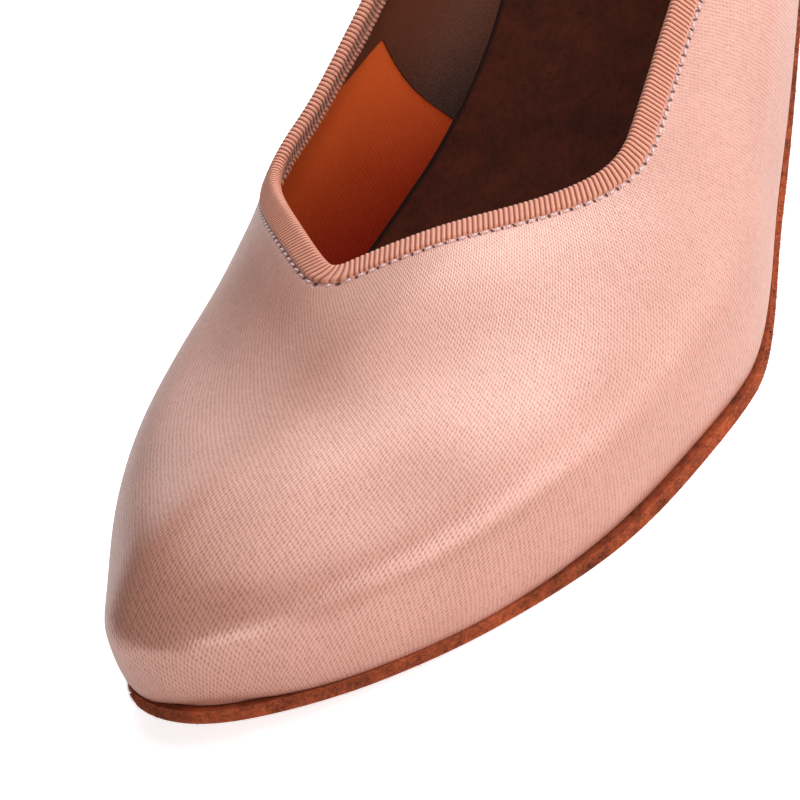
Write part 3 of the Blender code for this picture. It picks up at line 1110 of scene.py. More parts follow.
@dataclass(frozen=True)
class Satin(Finish):
    """Rose satin: steep twill lines, a broad gloss and, along an edge, a row of needle holes."""

    light: tuple[float, float, float] = (214, 155, 138)
    deep: tuple[float, float, float] = (178, 117, 97)
    dash: tuple[float, float, float] = (140, 84, 70)
    weave_map: str = "cloth"
    pitch: float = 0.45 * MM
    slant: float = math.radians(-19.0)
    dip_pitch: float = 0.66 * MM
    dip_slant: float = math.radians(33.0)
    stitch_pitch: float = 0.0
    stitch_depth: float = 0.0
    edge_length: float = 0.0

    def make(self, weaves: Weaves) -> bpy.types.Material:
        """Builds the material, with needle holes if it is given a stitch pitch.

        Args:
            weaves: The node groups that the finishes share.

        Returns:
            The material.
        """
        made, sketch, shader = self.start({"Metallic": 0.12, "Specular IOR Level": 1.0})
        place = sketch.map_place(self.weave_map)
        weave = sketch.use(weaves.weave, {"Place": place, "Pitch": self.pitch, "Slant": self.slant,
                                          "Dip Pitch": self.dip_pitch, "Dip Slant": self.dip_slant})
        shade = sketch.use(weaves.mottle, {"Place": sketch.object_place(), "Lumps": 55.0})["Shade"]
        thread = sketch.blend((weave["Ridge"], 0.4), (shade, 0.6))
        colour = sketch.tint(sketch.levels(thread, 0.10, 0.80), linear(*self.deep), linear(*self.light))
        colour = sketch.tint(sketch.math("MULTIPLY", weave["Dash"], 0.50), colour, linear(*self.dash))
        normal = sketch.bump(weave["Ridge"], 0.024 * MM)
        if self.stitch_pitch:
            colour, normal = self.needle_holes(sketch, colour, normal)
        rough = sketch.math("MULTIPLY_ADD", weave["Dash"], 0.15, self.roughness)
        sketch.feed(shader.inputs["Base Color"], colour)
        sketch.feed(shader.inputs["Roughness"], rough)
        sketch.feed(shader.inputs["Normal"], normal)
        return made

    def needle_holes(self, sketch: Sketch, colour: bpy.types.NodeSocket,
                     normal: bpy.types.NodeSocket) -> tuple[bpy.types.NodeSocket, bpy.types.NodeSocket]:
        """Adds the stitch row's holes and dimples, and the back seam, read from the map along the edge.

        Args:
            sketch: The material's sketch.
            colour: The cloth's colour.
            normal: The cloth's normal.

        Returns:
            The changed colour and normal.
        """
        along, depth = sketch.split(sketch.map_place("edge"))
        across = sketch.math("DIVIDE", sketch.math("SUBTRACT", depth, self.stitch_depth), 0.36 * MM)
        row = sketch.math("EXPONENT", sketch.math("MULTIPLY", sketch.math("MULTIPLY", across, across), -1.0))
        near = sketch.math("POWER", sketch.wave(sketch.math("DIVIDE", along, self.stitch_pitch)), 6.0)
        hole = sketch.math("MULTIPLY", row, near)
        colour = sketch.tint(sketch.levels(hole, 0.18, 0.60), colour, linear(70, 22, 22))
        from_back = sketch.math("MINIMUM", along, sketch.math("SUBTRACT", self.edge_length, along))
        seam = sketch.levels(from_back, 0.15 * MM, 0.55 * MM, 1.0, 0.0)
        colour = sketch.tint(sketch.math("MULTIPLY", seam, 0.7), colour, linear(120, 66, 54))
        dent = sketch.math("ADD", sketch.math("MAXIMUM", hole, sketch.math("MULTIPLY", row, 0.35)), seam)
        return colour, sketch.bump(dent, -0.16 * MM, under=normal)


@dataclass(frozen=True)
class Grosgrain(Finish):
    """Ribbed tape: crests painted pale as a highlight, grooves painted brown as shade, and fine thread turns
    round each rib.
    """

    # crest is a painted highlight colour for the tops of the ribs and groove a painted shade colour between
    # them.
    crest: tuple[float, float, float] = (226, 150, 122)
    groove: tuple[float, float, float] = (150, 76, 58)
    turn_pitch: float = 0.26 * MM

    def make(self, weaves: Weaves) -> bpy.types.Material:
        """Builds the material from the map that counts the ribs.

        Args:
            weaves: The node groups that the finishes share.

        Returns:
            The material.
        """
        made, sketch, shader = self.start({"Sheen Weight": 0.18, "Sheen Roughness": 0.5})
        ribs, across = sketch.split(sketch.map_place("ribs"))
        crest = sketch.math("SUBTRACT", 1.0, sketch.wave(ribs))
        along_rib = sketch.math("DIVIDE", across, self.turn_pitch)
        turns = sketch.wave(sketch.math("MULTIPLY_ADD", ribs, 0.5, along_rib))
        shade = sketch.use(weaves.mottle, {"Place": sketch.object_place(), "Lumps": 240.0})["Shade"]
        # Painted highlight and shade: the colour runs from the groove's shade to the crest's highlight with
        # the rib's wave.
        painted_rib_shading = sketch.levels(crest, 0.02, 0.62, -0.15, 0.80)
        tone = sketch.blend((painted_rib_shading, 1.0), (shade, 0.35), (turns, 0.16))
        sketch.feed(shader.inputs["Base Color"], sketch.tint(tone, linear(*self.groove), linear(*self.crest)))
        relief = sketch.blend((crest, 0.65), (turns, 0.35))
        sketch.feed(shader.inputs["Normal"], sketch.bump(relief, 0.07 * MM))
        return made


@dataclass(frozen=True)
class Thread(Finish):
    """Two-ply sewing thread, twisted along each stitch."""

    light: tuple[float, float, float] = (246, 224, 224)
    deep: tuple[float, float, float] = (196, 150, 156)

    def make(self, weaves: Weaves) -> bpy.types.Material:
        """Builds the material from the twist round each stitch.

        Args:
            weaves: The node groups that the finishes share.

        Returns:
            The material.
        """
        made, sketch, shader = self.start({"Sheen Weight": 0.3})
        u, v = sketch.split(sketch.map_place("UVMap"))
        ply = sketch.wave(sketch.blend((v, 3.0), (u, 2.0)))
        fuzz = sketch.cloud(sketch.object_place(), 4200.0, 2.0)
        tone = sketch.blend((ply, 0.75), (fuzz, 0.35))
        sketch.feed(shader.inputs["Base Color"], sketch.tint(tone, linear(*self.deep), linear(*self.light)))
        sketch.feed(shader.inputs["Normal"], sketch.bump(ply, 0.05 * MM))
        return made


@dataclass(frozen=True)
class LiningTwill(Finish):
    """Orange cotton twill of the vamp lining, with painted shade that darkens it towards the sole."""

    # deep is both the darker tone of the weave and the colour of the painted shade near the sole.
    light: tuple[float, float, float] = (226, 96, 42)
    deep: tuple[float, float, float] = (132, 22, 5)
    pitch: float = 0.34 * MM
    slant: float = math.radians(62.0)
    dip_pitch: float = 0.55 * MM
    dip_slant: float = math.radians(-30.0)

    def make(self, weaves: Weaves) -> bpy.types.Material:
        """Builds the material in the lining's own map.

        Args:
            weaves: The node groups that the finishes share.

        Returns:
            The material.
        """
        made, sketch, shader = self.start({"Specular IOR Level": 0.08})
        place = sketch.map_place("cloth")
        weave = sketch.use(weaves.weave, {"Place": place, "Pitch": self.pitch, "Slant": self.slant,
                                          "Dip Pitch": self.dip_pitch, "Dip Slant": self.dip_slant})
        shade = sketch.use(weaves.mottle, {"Place": sketch.object_place(), "Lumps": 70.0})["Shade"]
        # Painted shade: the tone darkens with the height above the floor, standing in for the shade deep
        # inside the shoe.
        height = sketch.levels(sketch.height(), 6.0 * MM, 40.0 * MM)
        tone = sketch.levels(sketch.blend((weave["Ridge"], 0.14), (shade, 0.2), (height, 0.75)), 0.1, 1.0)
        sketch.feed(shader.inputs["Base Color"], sketch.tint(tone, linear(*self.deep), linear(*self.light)))
        sketch.feed(shader.inputs["Normal"], sketch.bump(weave["Ridge"], 0.02 * MM))
        return made


@dataclass(frozen=True)
class LiningLeather(Finish):
    """Smooth brown leather of the quarter lining, with a fine grain and painted shade that darkens it towards
    the sole.
    """

    light: tuple[float, float, float] = (104, 57, 40)
    # deep is both the darker tone of the grain and the colour of the painted shade near the sole.
    deep: tuple[float, float, float] = (44, 21, 15)

    def make(self, weaves: Weaves) -> bpy.types.Material:
        """Builds the material from small cells and a soft mottle.

        Args:
            weaves: The node groups that the finishes share.

        Returns:
            The material.
        """
        made, sketch, shader = self.start({"Specular IOR Level": 0.12})
        place = sketch.object_place()
        cells = sketch.node("ShaderNodeTexVoronoi", {"Vector": place, "Scale": 1900.0},
                            feature="DISTANCE_TO_EDGE")
        grain = sketch.levels(cells.outputs["Distance"], 0.0, 0.25)
        shade = sketch.use(weaves.mottle, {"Place": place, "Lumps": 90.0})["Shade"]
        # Painted shade: the tone darkens with the height above the floor, standing in for the shade deep
        # inside the shoe.
        height = sketch.levels(sketch.height(), 14.0 * MM, 40.0 * MM)
        tone = sketch.levels(sketch.blend((grain, 0.15), (shade, 0.3), (height, 0.7)), 0.2, 1.0)
        sketch.feed(shader.inputs["Base Color"], sketch.tint(tone, linear(*self.deep), linear(*self.light)))
        sketch.feed(shader.inputs["Normal"], sketch.bump(grain, 0.012 * MM))
        return made


@dataclass(frozen=True)
class Suede(Finish):
    """Napped leather: split suede of the sole, the brown sock and the top piece's face."""

    light: tuple[float, float, float] = (184, 90, 54)
    deep: tuple[float, float, float] = (48, 23, 18)
    fibres: float = 1500.0
    pits: float = 420.0
    pit_share: float = 0.3
    relief: float = 0.16 * MM
    # rim_shadow is the colour of a painted shadow line along the rim, placed by the rim map.
    rim_map: str = ""
    rim_shadow: tuple[float, float, float] = (12, 10, 8)

    def make(self, weaves: Weaves) -> bpy.types.Material:
        """Builds the material from fibres, tufts and pits, with a painted shadow line at the rim if it has a
        rim map.

        Args:
            weaves: The node groups that the finishes share.

        Returns:
            The material.
        """
        made, sketch, shader = self.start({"Specular IOR Level": 0.2, "Sheen Weight": 0.25,
                                           "Sheen Roughness": 0.6, "Sheen Tint": linear(*self.light)})
        place = sketch.object_place()
        nap = sketch.use(weaves.nap, {"Place": place, "Fibres": self.fibres, "Pits": self.pits})
        shade = sketch.use(weaves.mottle, {"Place": place, "Lumps": 60.0})["Shade"]
        tone = sketch.levels(sketch.blend((nap["Nap"], 0.75), (shade, 0.45)), 0.35, 0.80)
        colour = sketch.tint(tone, linear(*self.deep), linear(*self.light))
        pit_colour = tuple(c * 0.35 for c in linear(*self.deep)[:3]) + (1.0,)
        colour = sketch.tint(sketch.math("MULTIPLY", nap["Pit"], self.pit_share), colour, pit_colour)
        if self.rim_map:
            # Painted shadow: a dark line along the rim where the sock meets the quarter lining, standing in
            # for the shade in that gap.
            in_quarter, from_rim = sketch.split(sketch.map_place(self.rim_map))
            shadow = sketch.levels(from_rim, 0.35 * MM, 1.3 * MM, 0.9, 0.0)
            shadow = sketch.math("MULTIPLY", in_quarter, shadow)
            colour = sketch.tint(shadow, colour, linear(*self.rim_shadow))
        sketch.feed(shader.inputs["Base Color"], colour)
        height = sketch.math("SUBTRACT", nap["Nap"], sketch.math("MULTIPLY", nap["Pit"], 0.5))
        sketch.feed(shader.inputs["Normal"], sketch.bump(height, self.relief))
        return made


class TopEdge:
    """The topline as one closed curve: evenly spread places with the wall's directions there."""

    def __init__(self, form: Form, wall: bpy.types.Object, samples: int = 1600) -> None:
        """Measures the edge once.

        Args:
            form: The form of the wall.
            wall: The satin's outer face, which places below the edge are laid on.
            samples: Places at which the edge is measured.
        """
        at = form.last.crowded(0.5 + np.arange(samples + 1) / samples)
        rows = form.wall(at, (0.970, 0.985, 1.0), closed=True)[0]
        self.points = rows[2]
        steps = np.linalg.norm(np.diff(self.points, axis=0), axis=1)
        self.arc = np.concatenate([[0.0], np.cumsum(steps)])
        self.length = float(self.arc[-1])
        ring = self.points[:-1]
        along = unit(np.roll(ring, -3, axis=0) - np.roll(ring, 3, axis=0))
        down = (rows[1] - rows[2])[:-1]
        down = unit(down - along * np.sum(down * along, axis=1, keepdims=True))
        self.along = np.concatenate([along, along[:1]])
        self.down = np.concatenate([down, down[:1]])
        faces = [p.vertices for p in wall.data.polygons]
        self.face = BVHTree.FromPolygons([v.co for v in wall.data.vertices], faces)

    def read(self, table: np.ndarray, arc: np.ndarray) -> np.ndarray:
        """Values of a table of samples at distances along the edge."""
        arc = np.mod(arc, self.length)
        return np.stack([np.interp(arc, self.arc, table[:, i]) for i in range(3)], axis=1)

    def below(self, arc: np.ndarray, depth: np.ndarray) -> tuple[np.ndarray, np.ndarray]:
        """Places on the wall at a distance below the edge, square to it.

        Args:
            arc: Distances along the edge from the heel's back.
            depth: Distances below the edge, one for each place.

        Returns:
            The places and the wall's outward normals there.
        """
        depth = np.asarray(depth)[:, None]
        guess = self.read(self.points, arc) + unit(self.read(self.down, arc)) * depth
        found = [self.face.find_nearest(Vector(p)) for p in guess]
        return np.array([f[0] for f in found]), np.array([f[1] for f in found])

    def distance(self, points: np.ndarray) -> tuple[np.ndarray, np.ndarray]:
        """Distance along the edge of the sample nearest to each point, and how far away it is.

        Args:
            points: The points.

        Returns:
            Two arrays, one value for each point.
        """
        arc = np.empty(len(points))
        away = np.empty(len(points))
        for i, point in enumerate(points):
            gaps = np.linalg.norm(self.points - point, axis=1)
            nearest = int(gaps.argmin())
            arc[i] = self.arc[nearest]
            away[i] = gaps[nearest]
        return arc, away


@dataclass
class SatinUpper:
    """The satin outer: one cloth pulled over the last, turned under at the sole and seamed at the back."""

    form: Form
    columns: int = 420
    low_rows: int = 14
    high_rows: int = 46
    thickness: float = 0.6 * MM
    margins: tuple[float, ...] = (6.0 * MM, 3.5 * MM, 1.6 * MM, 0.7 * MM)
    lowest_measured: int = 10
    stretch_rounds: int = 12

    def outer_face(self) -> np.ndarray:
        """Rows and columns of the outer face, from the turned-in margin to the edge.

        Returns:
            The points.
        """
        last = self.form.last
        at = last.crowded(0.5 + np.arange(self.columns + 1) / self.columns)
        low = np.linspace(0.0, WIDEST_SHARE, self.low_rows, endpoint=False)
        high = np.linspace(WIDEST_SHARE, 1.0, self.high_rows)
        wall = self.form.wall(at, np.concatenate([low, high]), closed=True)[0]
        lifted = last.sole_thickness + last.gap
        turned = [last.lifted(last.outline(np.mod(at, 1.0), -inset), lifted) for inset in self.margins]
        return np.concatenate([np.stack(turned), wall])

    def cloth_map(self, piece: bpy.types.Object, surface: np.ndarray) -> None:
        """Lays the open cloth out flat, at its real size and with the toe pointing down the map.

        Args:
            piece: The outer face, open at the back.
            surface: Its rows and columns of points.
        """
        piece.data.uv_layers.active = piece.data.uv_layers["cloth"]
        in_edit_mode(piece, lambda: bpy.ops.uv.unwrap(
            method="MINIMUM_STRETCH", iterations=self.stretch_rounds, margin=0.0))
        layer = piece.data.uv_layers["cloth"]
        flat = np.empty(len(piece.data.loops) * 2)
        layer.uv.foreach_get("vector", flat)
        place = flat.reshape(-1, 2)
        where = np.empty((len(piece.data.vertices), 2))
        where[corner_vertices(piece.data)] = place
        middle_line = surface[self.lowest_measured:, surface.shape[1] // 2]
        points = np.array([v.co for v in piece.data.vertices])
        low, high = (where[int(np.linalg.norm(points - end, axis=1).argmin())]
                     for end in middle_line[[0, -1]])
        real = float(np.linalg.norm(np.diff(middle_line, axis=0), axis=1).sum())
        run = high - low
        length = float(np.hypot(*run))
        axes = np.stack([(run[1], -run[0]), run], axis=1) / length
        layer.uv.foreach_set("vector", ((place - low) @ axes * (real / length)).ravel())

    def build(self) -> tuple[bpy.types.Object, TopEdge]:
        """Builds the cloth.

        Returns:
            The satin as a closed thin wall, and the edge measured on it.
        """
        surface = self.outer_face()
        rows, columns = surface.shape[:2]
        piece = draped("satin_upper", surface, {"cloth": np.zeros((rows, columns, 2))})
        edge = TopEdge(self.form, piece)
        self.cloth_map(piece, surface)
        arc, depth = edge.distance(surface.reshape(-1, 3))
        arc = arc.reshape(rows, columns)
        arc[:, -1] = edge.length
        arc[:, 0] = 0.0
        add_map(piece, "edge", np.stack([arc, depth.reshape(rows, columns)], axis=2))
        weld(piece)
        apply_modifier(piece, "SOLIDIFY", thickness=self.thickness, offset=-1.0, use_quality_normals=True)
        smooth(piece, 50.0)
        return piece, edge


@dataclass
class Linings:
    """Orange twill in the vamp and brown leather in the quarters, which overlaps it."""

    form: Form
    sock: "Insole"
    seam_low: float = 0.2793
    seam_shift: float = 0.031
    seam_middle: float = 0.45
    seam_spread: float = 0.10
    overlap: float = 0.010
    columns: int = 260
    rows: int = 44
    top: float = 0.985
    thinning: float = 0.35 * MM
    thin_from: float = 0.75
    tuck: float = 5.0 * MM
    vamp_depth: float = 1.25 * MM
    vamp_foot: float = -0.10 * MM
    vamp_thickness: float = 0.50 * MM
    quarter_depth: float = 1.60 * MM
    quarter_foot: float = 0.25 * MM
    quarter_thickness: float = 0.33 * MM

    def seam(self, share: float) -> float:
        """Parameter of the seam on the outer side at a height up the wall."""
        passed = 1.0 / (1.0 + math.exp((self.seam_middle - share) / self.seam_spread))
        return self.seam_low - self.seam_shift * passed

    def face(self, start: Callable[[float], float], end: Callable[[float], float], depth: float,
             foot: float) -> np.ndarray:
        """Rows and columns of a face inside the wall, which meets the sock's rim at its foot.

        Args:
            start: Parameter of the first column at a height.
            end: Parameter of the last column at a height.
            depth: Distance inwards from the outer face.
            foot: How far its foot stands in front of the sock's rim.

        Returns:
            The points, with columns running anticlockwise seen from above.
        """
        shares = np.linspace(0.0, self.top, self.rows)
        spread = np.linspace(0.0, 1.0, self.columns)
        last = self.form.last
        rows = []
        rims = []
        for share in shares:
            at = start(share) + (end(share) - start(share)) * spread
            place, normal = self.form.line(at, share)
            thinned = self.thinning * max(share - self.thin_from, 0.0) / (1.0 - self.thin_from)
            rows.append(place - normal * (depth - thinned))
            plan = last.outline(np.mod(at, 1.0), -self.sock.inset - foot)
            rims.append(last.lifted(plan, self.sock.top()))
        wall = np.stack(rows)
        rim = np.stack(rims)
        level = last.over_sole(wall[..., 1] + last.centre()[1], self.sock.top())
        above = wall[..., 2] - level
        meet = np.empty(wall.shape[1:])
        for k in range(wall.shape[1]):
            for axis in range(3):
                meet[k, axis] = np.interp(0.0, above[:, k], wall[:, k, axis])
        pull = np.exp(-np.clip(above / self.tuck, 0.0, None)**1.5)[..., None]
        return wall + (rim - meet[None]) * pull

    def build(self) -> tuple[bpy.types.Object, bpy.types.Object]:
        """Builds both linings and returns the vamp's and the quarters'.

        Returns:
            The vamp's lining and the quarters'.
        """
        vamp = self.face(lambda share: -self.seam(share) - self.overlap,
                         lambda share: self.seam(share) + self.overlap, self.vamp_depth, self.vamp_foot)
        quarter = self.face(self.seam, lambda share: 1.0 - self.seam(share), self.quarter_depth,
                            self.quarter_foot)
        return (self.lining("vamp_lining", vamp, self.vamp_thickness),
                self.lining("quarter_lining", quarter, self.quarter_thickness))

    def lining(self, name: str, face: np.ndarray, thickness: float) -> bpy.types.Object:
        """Gives a face its thickness, towards the wall.

        Args:
            name: The lining's name.
            face: Its rows and columns of points.
            thickness: How thick it is.

        Returns:
            The lining.
        """
        turned = face[:, ::-1]
        piece = draped(name, turned, {"cloth": arc_table(turned)})
        apply_modifier(piece, "SOLIDIFY", thickness=thickness, offset=-1.0)
        smooth(piece, 50.0)
        return piece


class Ribbing(NamedTuple):
    """Values at each column of the tape: how many ribs came before and how high the rib stands there."""

    count: np.ndarray
    height: np.ndarray
    arc: np.ndarray
    uneven: np.ndarray
    thick: np.ndarray


@dataclass
class Binding:
    """Grosgrain tape folded over the edge: its ribs run across the fold."""

    edge: TopEdge
    ribs: int = 560
    outer_leg: float = 2.8 * MM
    inner_leg: float = 4.6 * MM
    wall: float = 1.6 * MM
    edge_wall: float = 1.0 * MM
    base: float = 0.30 * MM
    crest: float = 0.18 * MM
    fold: float = 0.75 * MM
    slant_out: float = -0.8 * MM
    slant_in: float = -1.2 * MM
    groove: float = 3.3 * MM
    groove_width: float = 0.22 * MM
    phases: tuple[float, ...] = (0.0, 0.12, 0.30, 0.50, 0.70, 0.88)
    heights: tuple[float, ...] = (0.0, 0.60, 0.92, 1.0, 0.92, 0.60)
    outer_depths: tuple[float, ...] = (1.0, 0.985, 0.94, 0.80, 0.55, 0.28, 0.08)
    outer_lifts: tuple[float, ...] = (0.10, 0.60, 0.92, 1.0, 1.0, 1.0, 1.0)
    fold_turns: tuple[float, ...] = (20.0, 45.0, 70.0, 90.0, 110.0, 135.0, 160.0)
    inner_depths: tuple[float, ...] = (0.06, 0.25, 0.45, 0.62, 0.70, 0.74, 0.78, 0.86, 0.95, 0.985, 1.0)

    def ribbing(self) -> Ribbing:
        """Spreads the ribs along the edge.

        Returns:
            The values at each column; the last column repeats the first.
        """
        count = np.append(np.add.outer(np.arange(self.ribs), self.phases).ravel(), self.ribs)
        height = np.append(np.tile(self.heights, self.ribs), self.heights[0])
        uneven = np.sin(count * 1.7) * 0.5 + np.sin(count * 0.37 + 1.0) * 0.5
        arc = count * (self.edge.length / self.ribs)
        return Ribbing(count, height, arc, uneven, self.base + self.crest * height)

    def outer_rows(self, at: Ribbing) -> list[tuple[np.ndarray, float]]:
        """Lays the outer leg on the satin, from its foot up.

        Args:
            at: The values at each column.

        Returns:
            The rows, each with its distance across the tape.
        """
        rows = []
        foot = self.outer_leg - 0.10 * MM * (1.0 - at.height) + 0.05 * MM * at.uneven
        for share, lift in zip(self.outer_depths, self.outer_lifts):
            place, normal = self.edge.below(at.arc + self.slant_out * share, foot * share)
            rows.append((place + normal * (at.thick * lift)[:, None], self.outer_leg * (1.0 - share)))
        return rows

    def fold_rows(self, at: Ribbing) -> list[tuple[np.ndarray, float]]:
        """Turns the tape over the edge.

        Args:
            at: The values at each column.

        Returns:
            The rows, each with its distance across the tape.
        """
        rows = []
        crown, _ = self.edge.below(at.arc, np.zeros(len(at.arc)))
        _, normal = self.edge.below(at.arc, np.full(len(at.arc), 0.4 * MM))
        up = -unit(self.edge.read(self.edge.down, at.arc))
        centre = crown - normal * (self.edge_wall / 2)
        half = (self.edge_wall / 2 + at.thick)[:, None]
        rise = (self.fold - self.base - self.crest + at.thick)[:, None]
        for degree in self.fold_turns:
            turn = math.radians(degree)
            row = centre + normal * half * math.cos(turn) + up * rise * math.sin(turn)
            rows.append((row, self.outer_leg + self.fold_width() * degree / 180.0))
        return rows

    def inner_rows(self, at: Ribbing) -> list[tuple[np.ndarray, float]]:
        """Lays the inner leg on the lining, with the groove of its seam.

        Args:
            at: The values at each column.

        Returns:
            The rows, each with its distance across the tape.
        """
        rows = []
        foot = self.inner_leg - 0.25 * MM * (1.0 - at.height) + 0.18 * MM * at.uneven
        for share in self.inner_depths:
            depth = foot * share
            place, normal = self.edge.below(at.arc + self.slant_in * share, depth)
            sunk = np.exp(-((depth - self.groove) / self.groove_width)**2)
            lift = (1.0 - 0.75 * sunk) * (0.15 if share == 1.0 else 1.0)
            deeper = np.clip(depth / self.inner_leg, 0.0, 1.0)
            thinned = self.edge_wall + (self.wall - self.edge_wall) * deeper
            row = place - normal * (thinned + at.thick * lift)[:, None]
            rows.append((row, self.outer_leg + self.fold_width() + self.inner_leg * share))
        return rows

    def fold_width(self) -> float:
        """Width of tape that the fold takes up."""
        return self.fold * 2.2

    def build(self) -> bpy.types.Object:
        """Builds the tape.

        Returns:
            A closed tube of U section round the whole edge.
        """
        at = self.ribbing()
        laid = [*self.outer_rows(at), *self.fold_rows(at), *self.inner_rows(at)]
        rows = [row for row, _ in laid]
        across = [place for _, place in laid]
        surface = np.stack([*rows, rows[0]])
        across = np.array([*across, across[-1]])
        table = np.stack(np.broadcast_arrays(at.count[None, :], across[:, None]), axis=2)
        piece = draped("grosgrain_binding", surface, {"ribs": table})
        weld(piece)
        smooth(piece, 60.0)
        return piece


@dataclass
class StitchRow:
    """A row of lock stitches: short slanted strokes of twisted thread, half sunk in the cloth."""

    edge: TopEdge
    name: str
    depth: float
    pitch: float = 1.6 * MM
    length: float = 1.10 * MM
    width: float = 0.40 * MM
    slant: float = 16.0
    offset: float = 0.06 * MM

    def count(self) -> int:
        """How many stitches close the row."""
        return round(self.edge.length / self.pitch)

    def stroke(self) -> bpy.types.Object:
        """Models one stitch along X at the origin, its ends bent down into the cloth.

        Returns:
            The stitch.
        """
        bpy.ops.mesh.primitive_uv_sphere_add(segments=8, ring_count=8, radius=0.5,
                                             rotation=(0.0, math.pi / 2, 0.0))
        piece = bpy.context.object
        bpy.ops.object.transform_apply(location=True, rotation=True, scale=True)
        for vertex in piece.data.vertices:
            x, y, z = vertex.co
            vertex.co = (x * self.length, y * self.width, z * self.width - 0.9 * self.width * (2 * x)**4)
        return piece

    def build(self) -> bpy.types.Object:
        """Builds the row.

        Returns:
            All its stitches as one piece.
        """
        count = self.count()
        arc = (np.arange(count) + 0.5) * self.edge.length / count
        place, normal = self.edge.below(arc, np.full(count, self.depth))
        along = unit(self.edge.read(self.edge.along, arc))
        side = unit(np.cross(normal, along))
        along = np.cross(side, normal)
        turn = math.radians(self.slant)
        places = []
        for i in range(count):
            wobble = turn * (1.0 + 0.25 * math.sin(i * 2.4))
            run = along[i] * math.cos(wobble) + side[i] * math.sin(wobble)
            axes = Matrix((run, np.cross(normal[i], run), normal[i])).transposed().to_4x4()
            places.append(Matrix.Translation(Vector(place[i] + normal[i] * self.offset)) @ axes)
        return scattered_copies(self.name, self.stroke(), places)


@dataclass
class Outsole:
    """Thin suede sole cut to the feather line, with a fuzzy edge."""

    last: Last
    outset: float = 0.8 * MM
    rungs: int = 340
    across: int = 40
    rim: float = 0.22 * MM
    toe_crowding: float = 0.10
    hairs: int = 9000
    hair_root: float = 0.15 * MM
    hair_lengths: tuple[float, float] = (0.20, 0.55)
    hair_radii: tuple[float, float] = (0.035, 0.075)
    hair_lean: float = 0.55
    seed: int = 11

    def plan(self, share: np.ndarray) -> tuple[np.ndarray, np.ndarray]:
        """Finds edge points by their share of the way from the toe's tip to the breast.

        Args:
            share: The shares.

        Returns:
            Plan points on the outer and on the inner edge.
        """
        at = self.last.crowded(np.linspace(0.0, 0.5, 4000))
        along = self.last.outline(at, self.outset)[:, 1]
        at = float(np.interp(self.last.breast, along, at)) * share
        return self.last.outline(at, self.outset), self.last.outline(1.0 - at, self.outset)

    def build(self) -> bpy.types.Object:
        """Builds the sole.

        Returns:
            The sole, cut straight at the breast.
        """
        share = np.linspace(0.0, 1.0, self.rungs)
        share = share - self.toe_crowding * np.sin(math.pi * share) * (1.0 - share)**4
        outer, inner = self.plan(share)
        outer[-1, 1] = inner[-1, 1] = self.last.breast
        surface = self.last.between(outer, inner, spread_across(self.across), 0.0)[::-1]
        maps = {"cloth": arc_table(surface)}
        return slab("suede_outsole", surface, maps, self.last.sole_thickness, self.rim)

    def nap(self) -> bpy.types.Object:
        """Models the loose fibres that stand out of the cut edge, in tufts.

        Returns:
            The fibres, each a thin pyramid, as one piece.
        """
        rng = np.random.default_rng(self.seed)
        share = rng.random(self.hairs)
        side = rng.random(self.hairs)[:, None] < 0.5
        outer, inner = self.plan(share)
        step_outer, step_inner = self.plan(share + 1e-4)
        flat = np.zeros((self.hairs, 1))
        run = np.where(side, step_outer - outer, step_inner - inner)
        along = unit(np.hstack([run, flat]))
        out = np.cross(along, UP) * np.where(side, 1.0, -1.0)
        height = rng.uniform(0.05, 0.98, self.hairs) * self.last.sole_thickness
        root = self.last.lifted(np.where(side, outer, inner), height)
        clump = 0.5 + 0.5 * np.sin(share * 620.0 + np.sin(share * 173.0) * 3.0)
        length = rng.uniform(*self.hair_lengths, self.hairs) * MM
        length = length * (0.6 + 1.1 * clump * rng.random(self.hairs))
        lean = rng.normal(0.0, self.hair_lean, (self.hairs, 2))
        tip = root + length[:, None] * unit(out + along * lean[:, :1] + UP * lean[:, 1:] * 0.7)
        tip[:, 2] = np.maximum(tip[:, 2], 0.02 * MM)
        root = root - out * self.hair_root
        root[:, 2] = np.maximum(root[:, 2], 0.05 * MM)
        thick = rng.uniform(*self.hair_radii, self.hairs)[:, None] * MM
        ring = [root + (along * math.cos(turn) + UP * math.sin(turn)) * thick
                for turn in (0.0, 2 * math.pi / 3, 4 * math.pi / 3)]
        points = np.stack([*ring, tip], axis=1)
        points[:, :, 2] = np.maximum(points[:, :, 2], 0.01 * MM)
        first = np.arange(self.hairs)[:, None, None] * 4
        faces = first + np.array([(0, 1, 3), (1, 2, 3), (2, 0, 3), (0, 2, 1)])
        mesh = bpy.data.meshes.new("sole_nap")
        mesh.from_pydata(points.reshape(-1, 3).tolist(), [], faces.reshape(-1, 3).tolist())
        piece = linked("sole_nap", mesh)
        in_edit_mode(piece, lambda: bpy.ops.mesh.normals_make_consistent(inside=False))
        return piece


@dataclass
class Insole:
    """The brown sock on its board."""

    last: Last
    floor: float = 4.0 * MM
    thickness: float = 2.4 * MM
    inset: float = 1.6 * MM
    quarter_start: float = 0.0985
    quarter_fade: float = 4.0 * MM
    rungs: int = 340
    across: int = 40
    rim: float = 0.30 * MM

    def top(self) -> float:
        """Height of its upper face above the sole's lower face."""
        return self.floor + self.thickness

    def build(self) -> bpy.types.Object:
        """Builds the sock.

        Returns:
            The sock, with a map of its rim: how far in the quarter a place is, and how far from the rim.
        """
        at = self.last.crowded(np.linspace(0.0, 0.5, self.rungs))
        outer = self.last.outline(at, -self.inset)
        inner = self.last.outline(1.0 - at, -self.inset)
        blend = spread_across(self.across)
        surface = self.last.between(outer, inner, blend, self.top())
        width = np.linalg.norm(outer - inner, axis=1)
        # from_rim and in_quarter place the sock material's painted shadow line along the quarter lining.
        from_rim = np.minimum(blend, 1.0 - blend)[:, None] * width
        in_quarter = np.clip((outer[:, 1] - self.quarter_start) / self.quarter_fade, 0.0, 1.0)
        rim = np.stack(np.broadcast_arrays(in_quarter, from_rim), axis=2)
        maps = {"cloth": arc_table(surface), "rim": rim}
        return slab("insole_sock", surface, maps, self.thickness, self.rim)


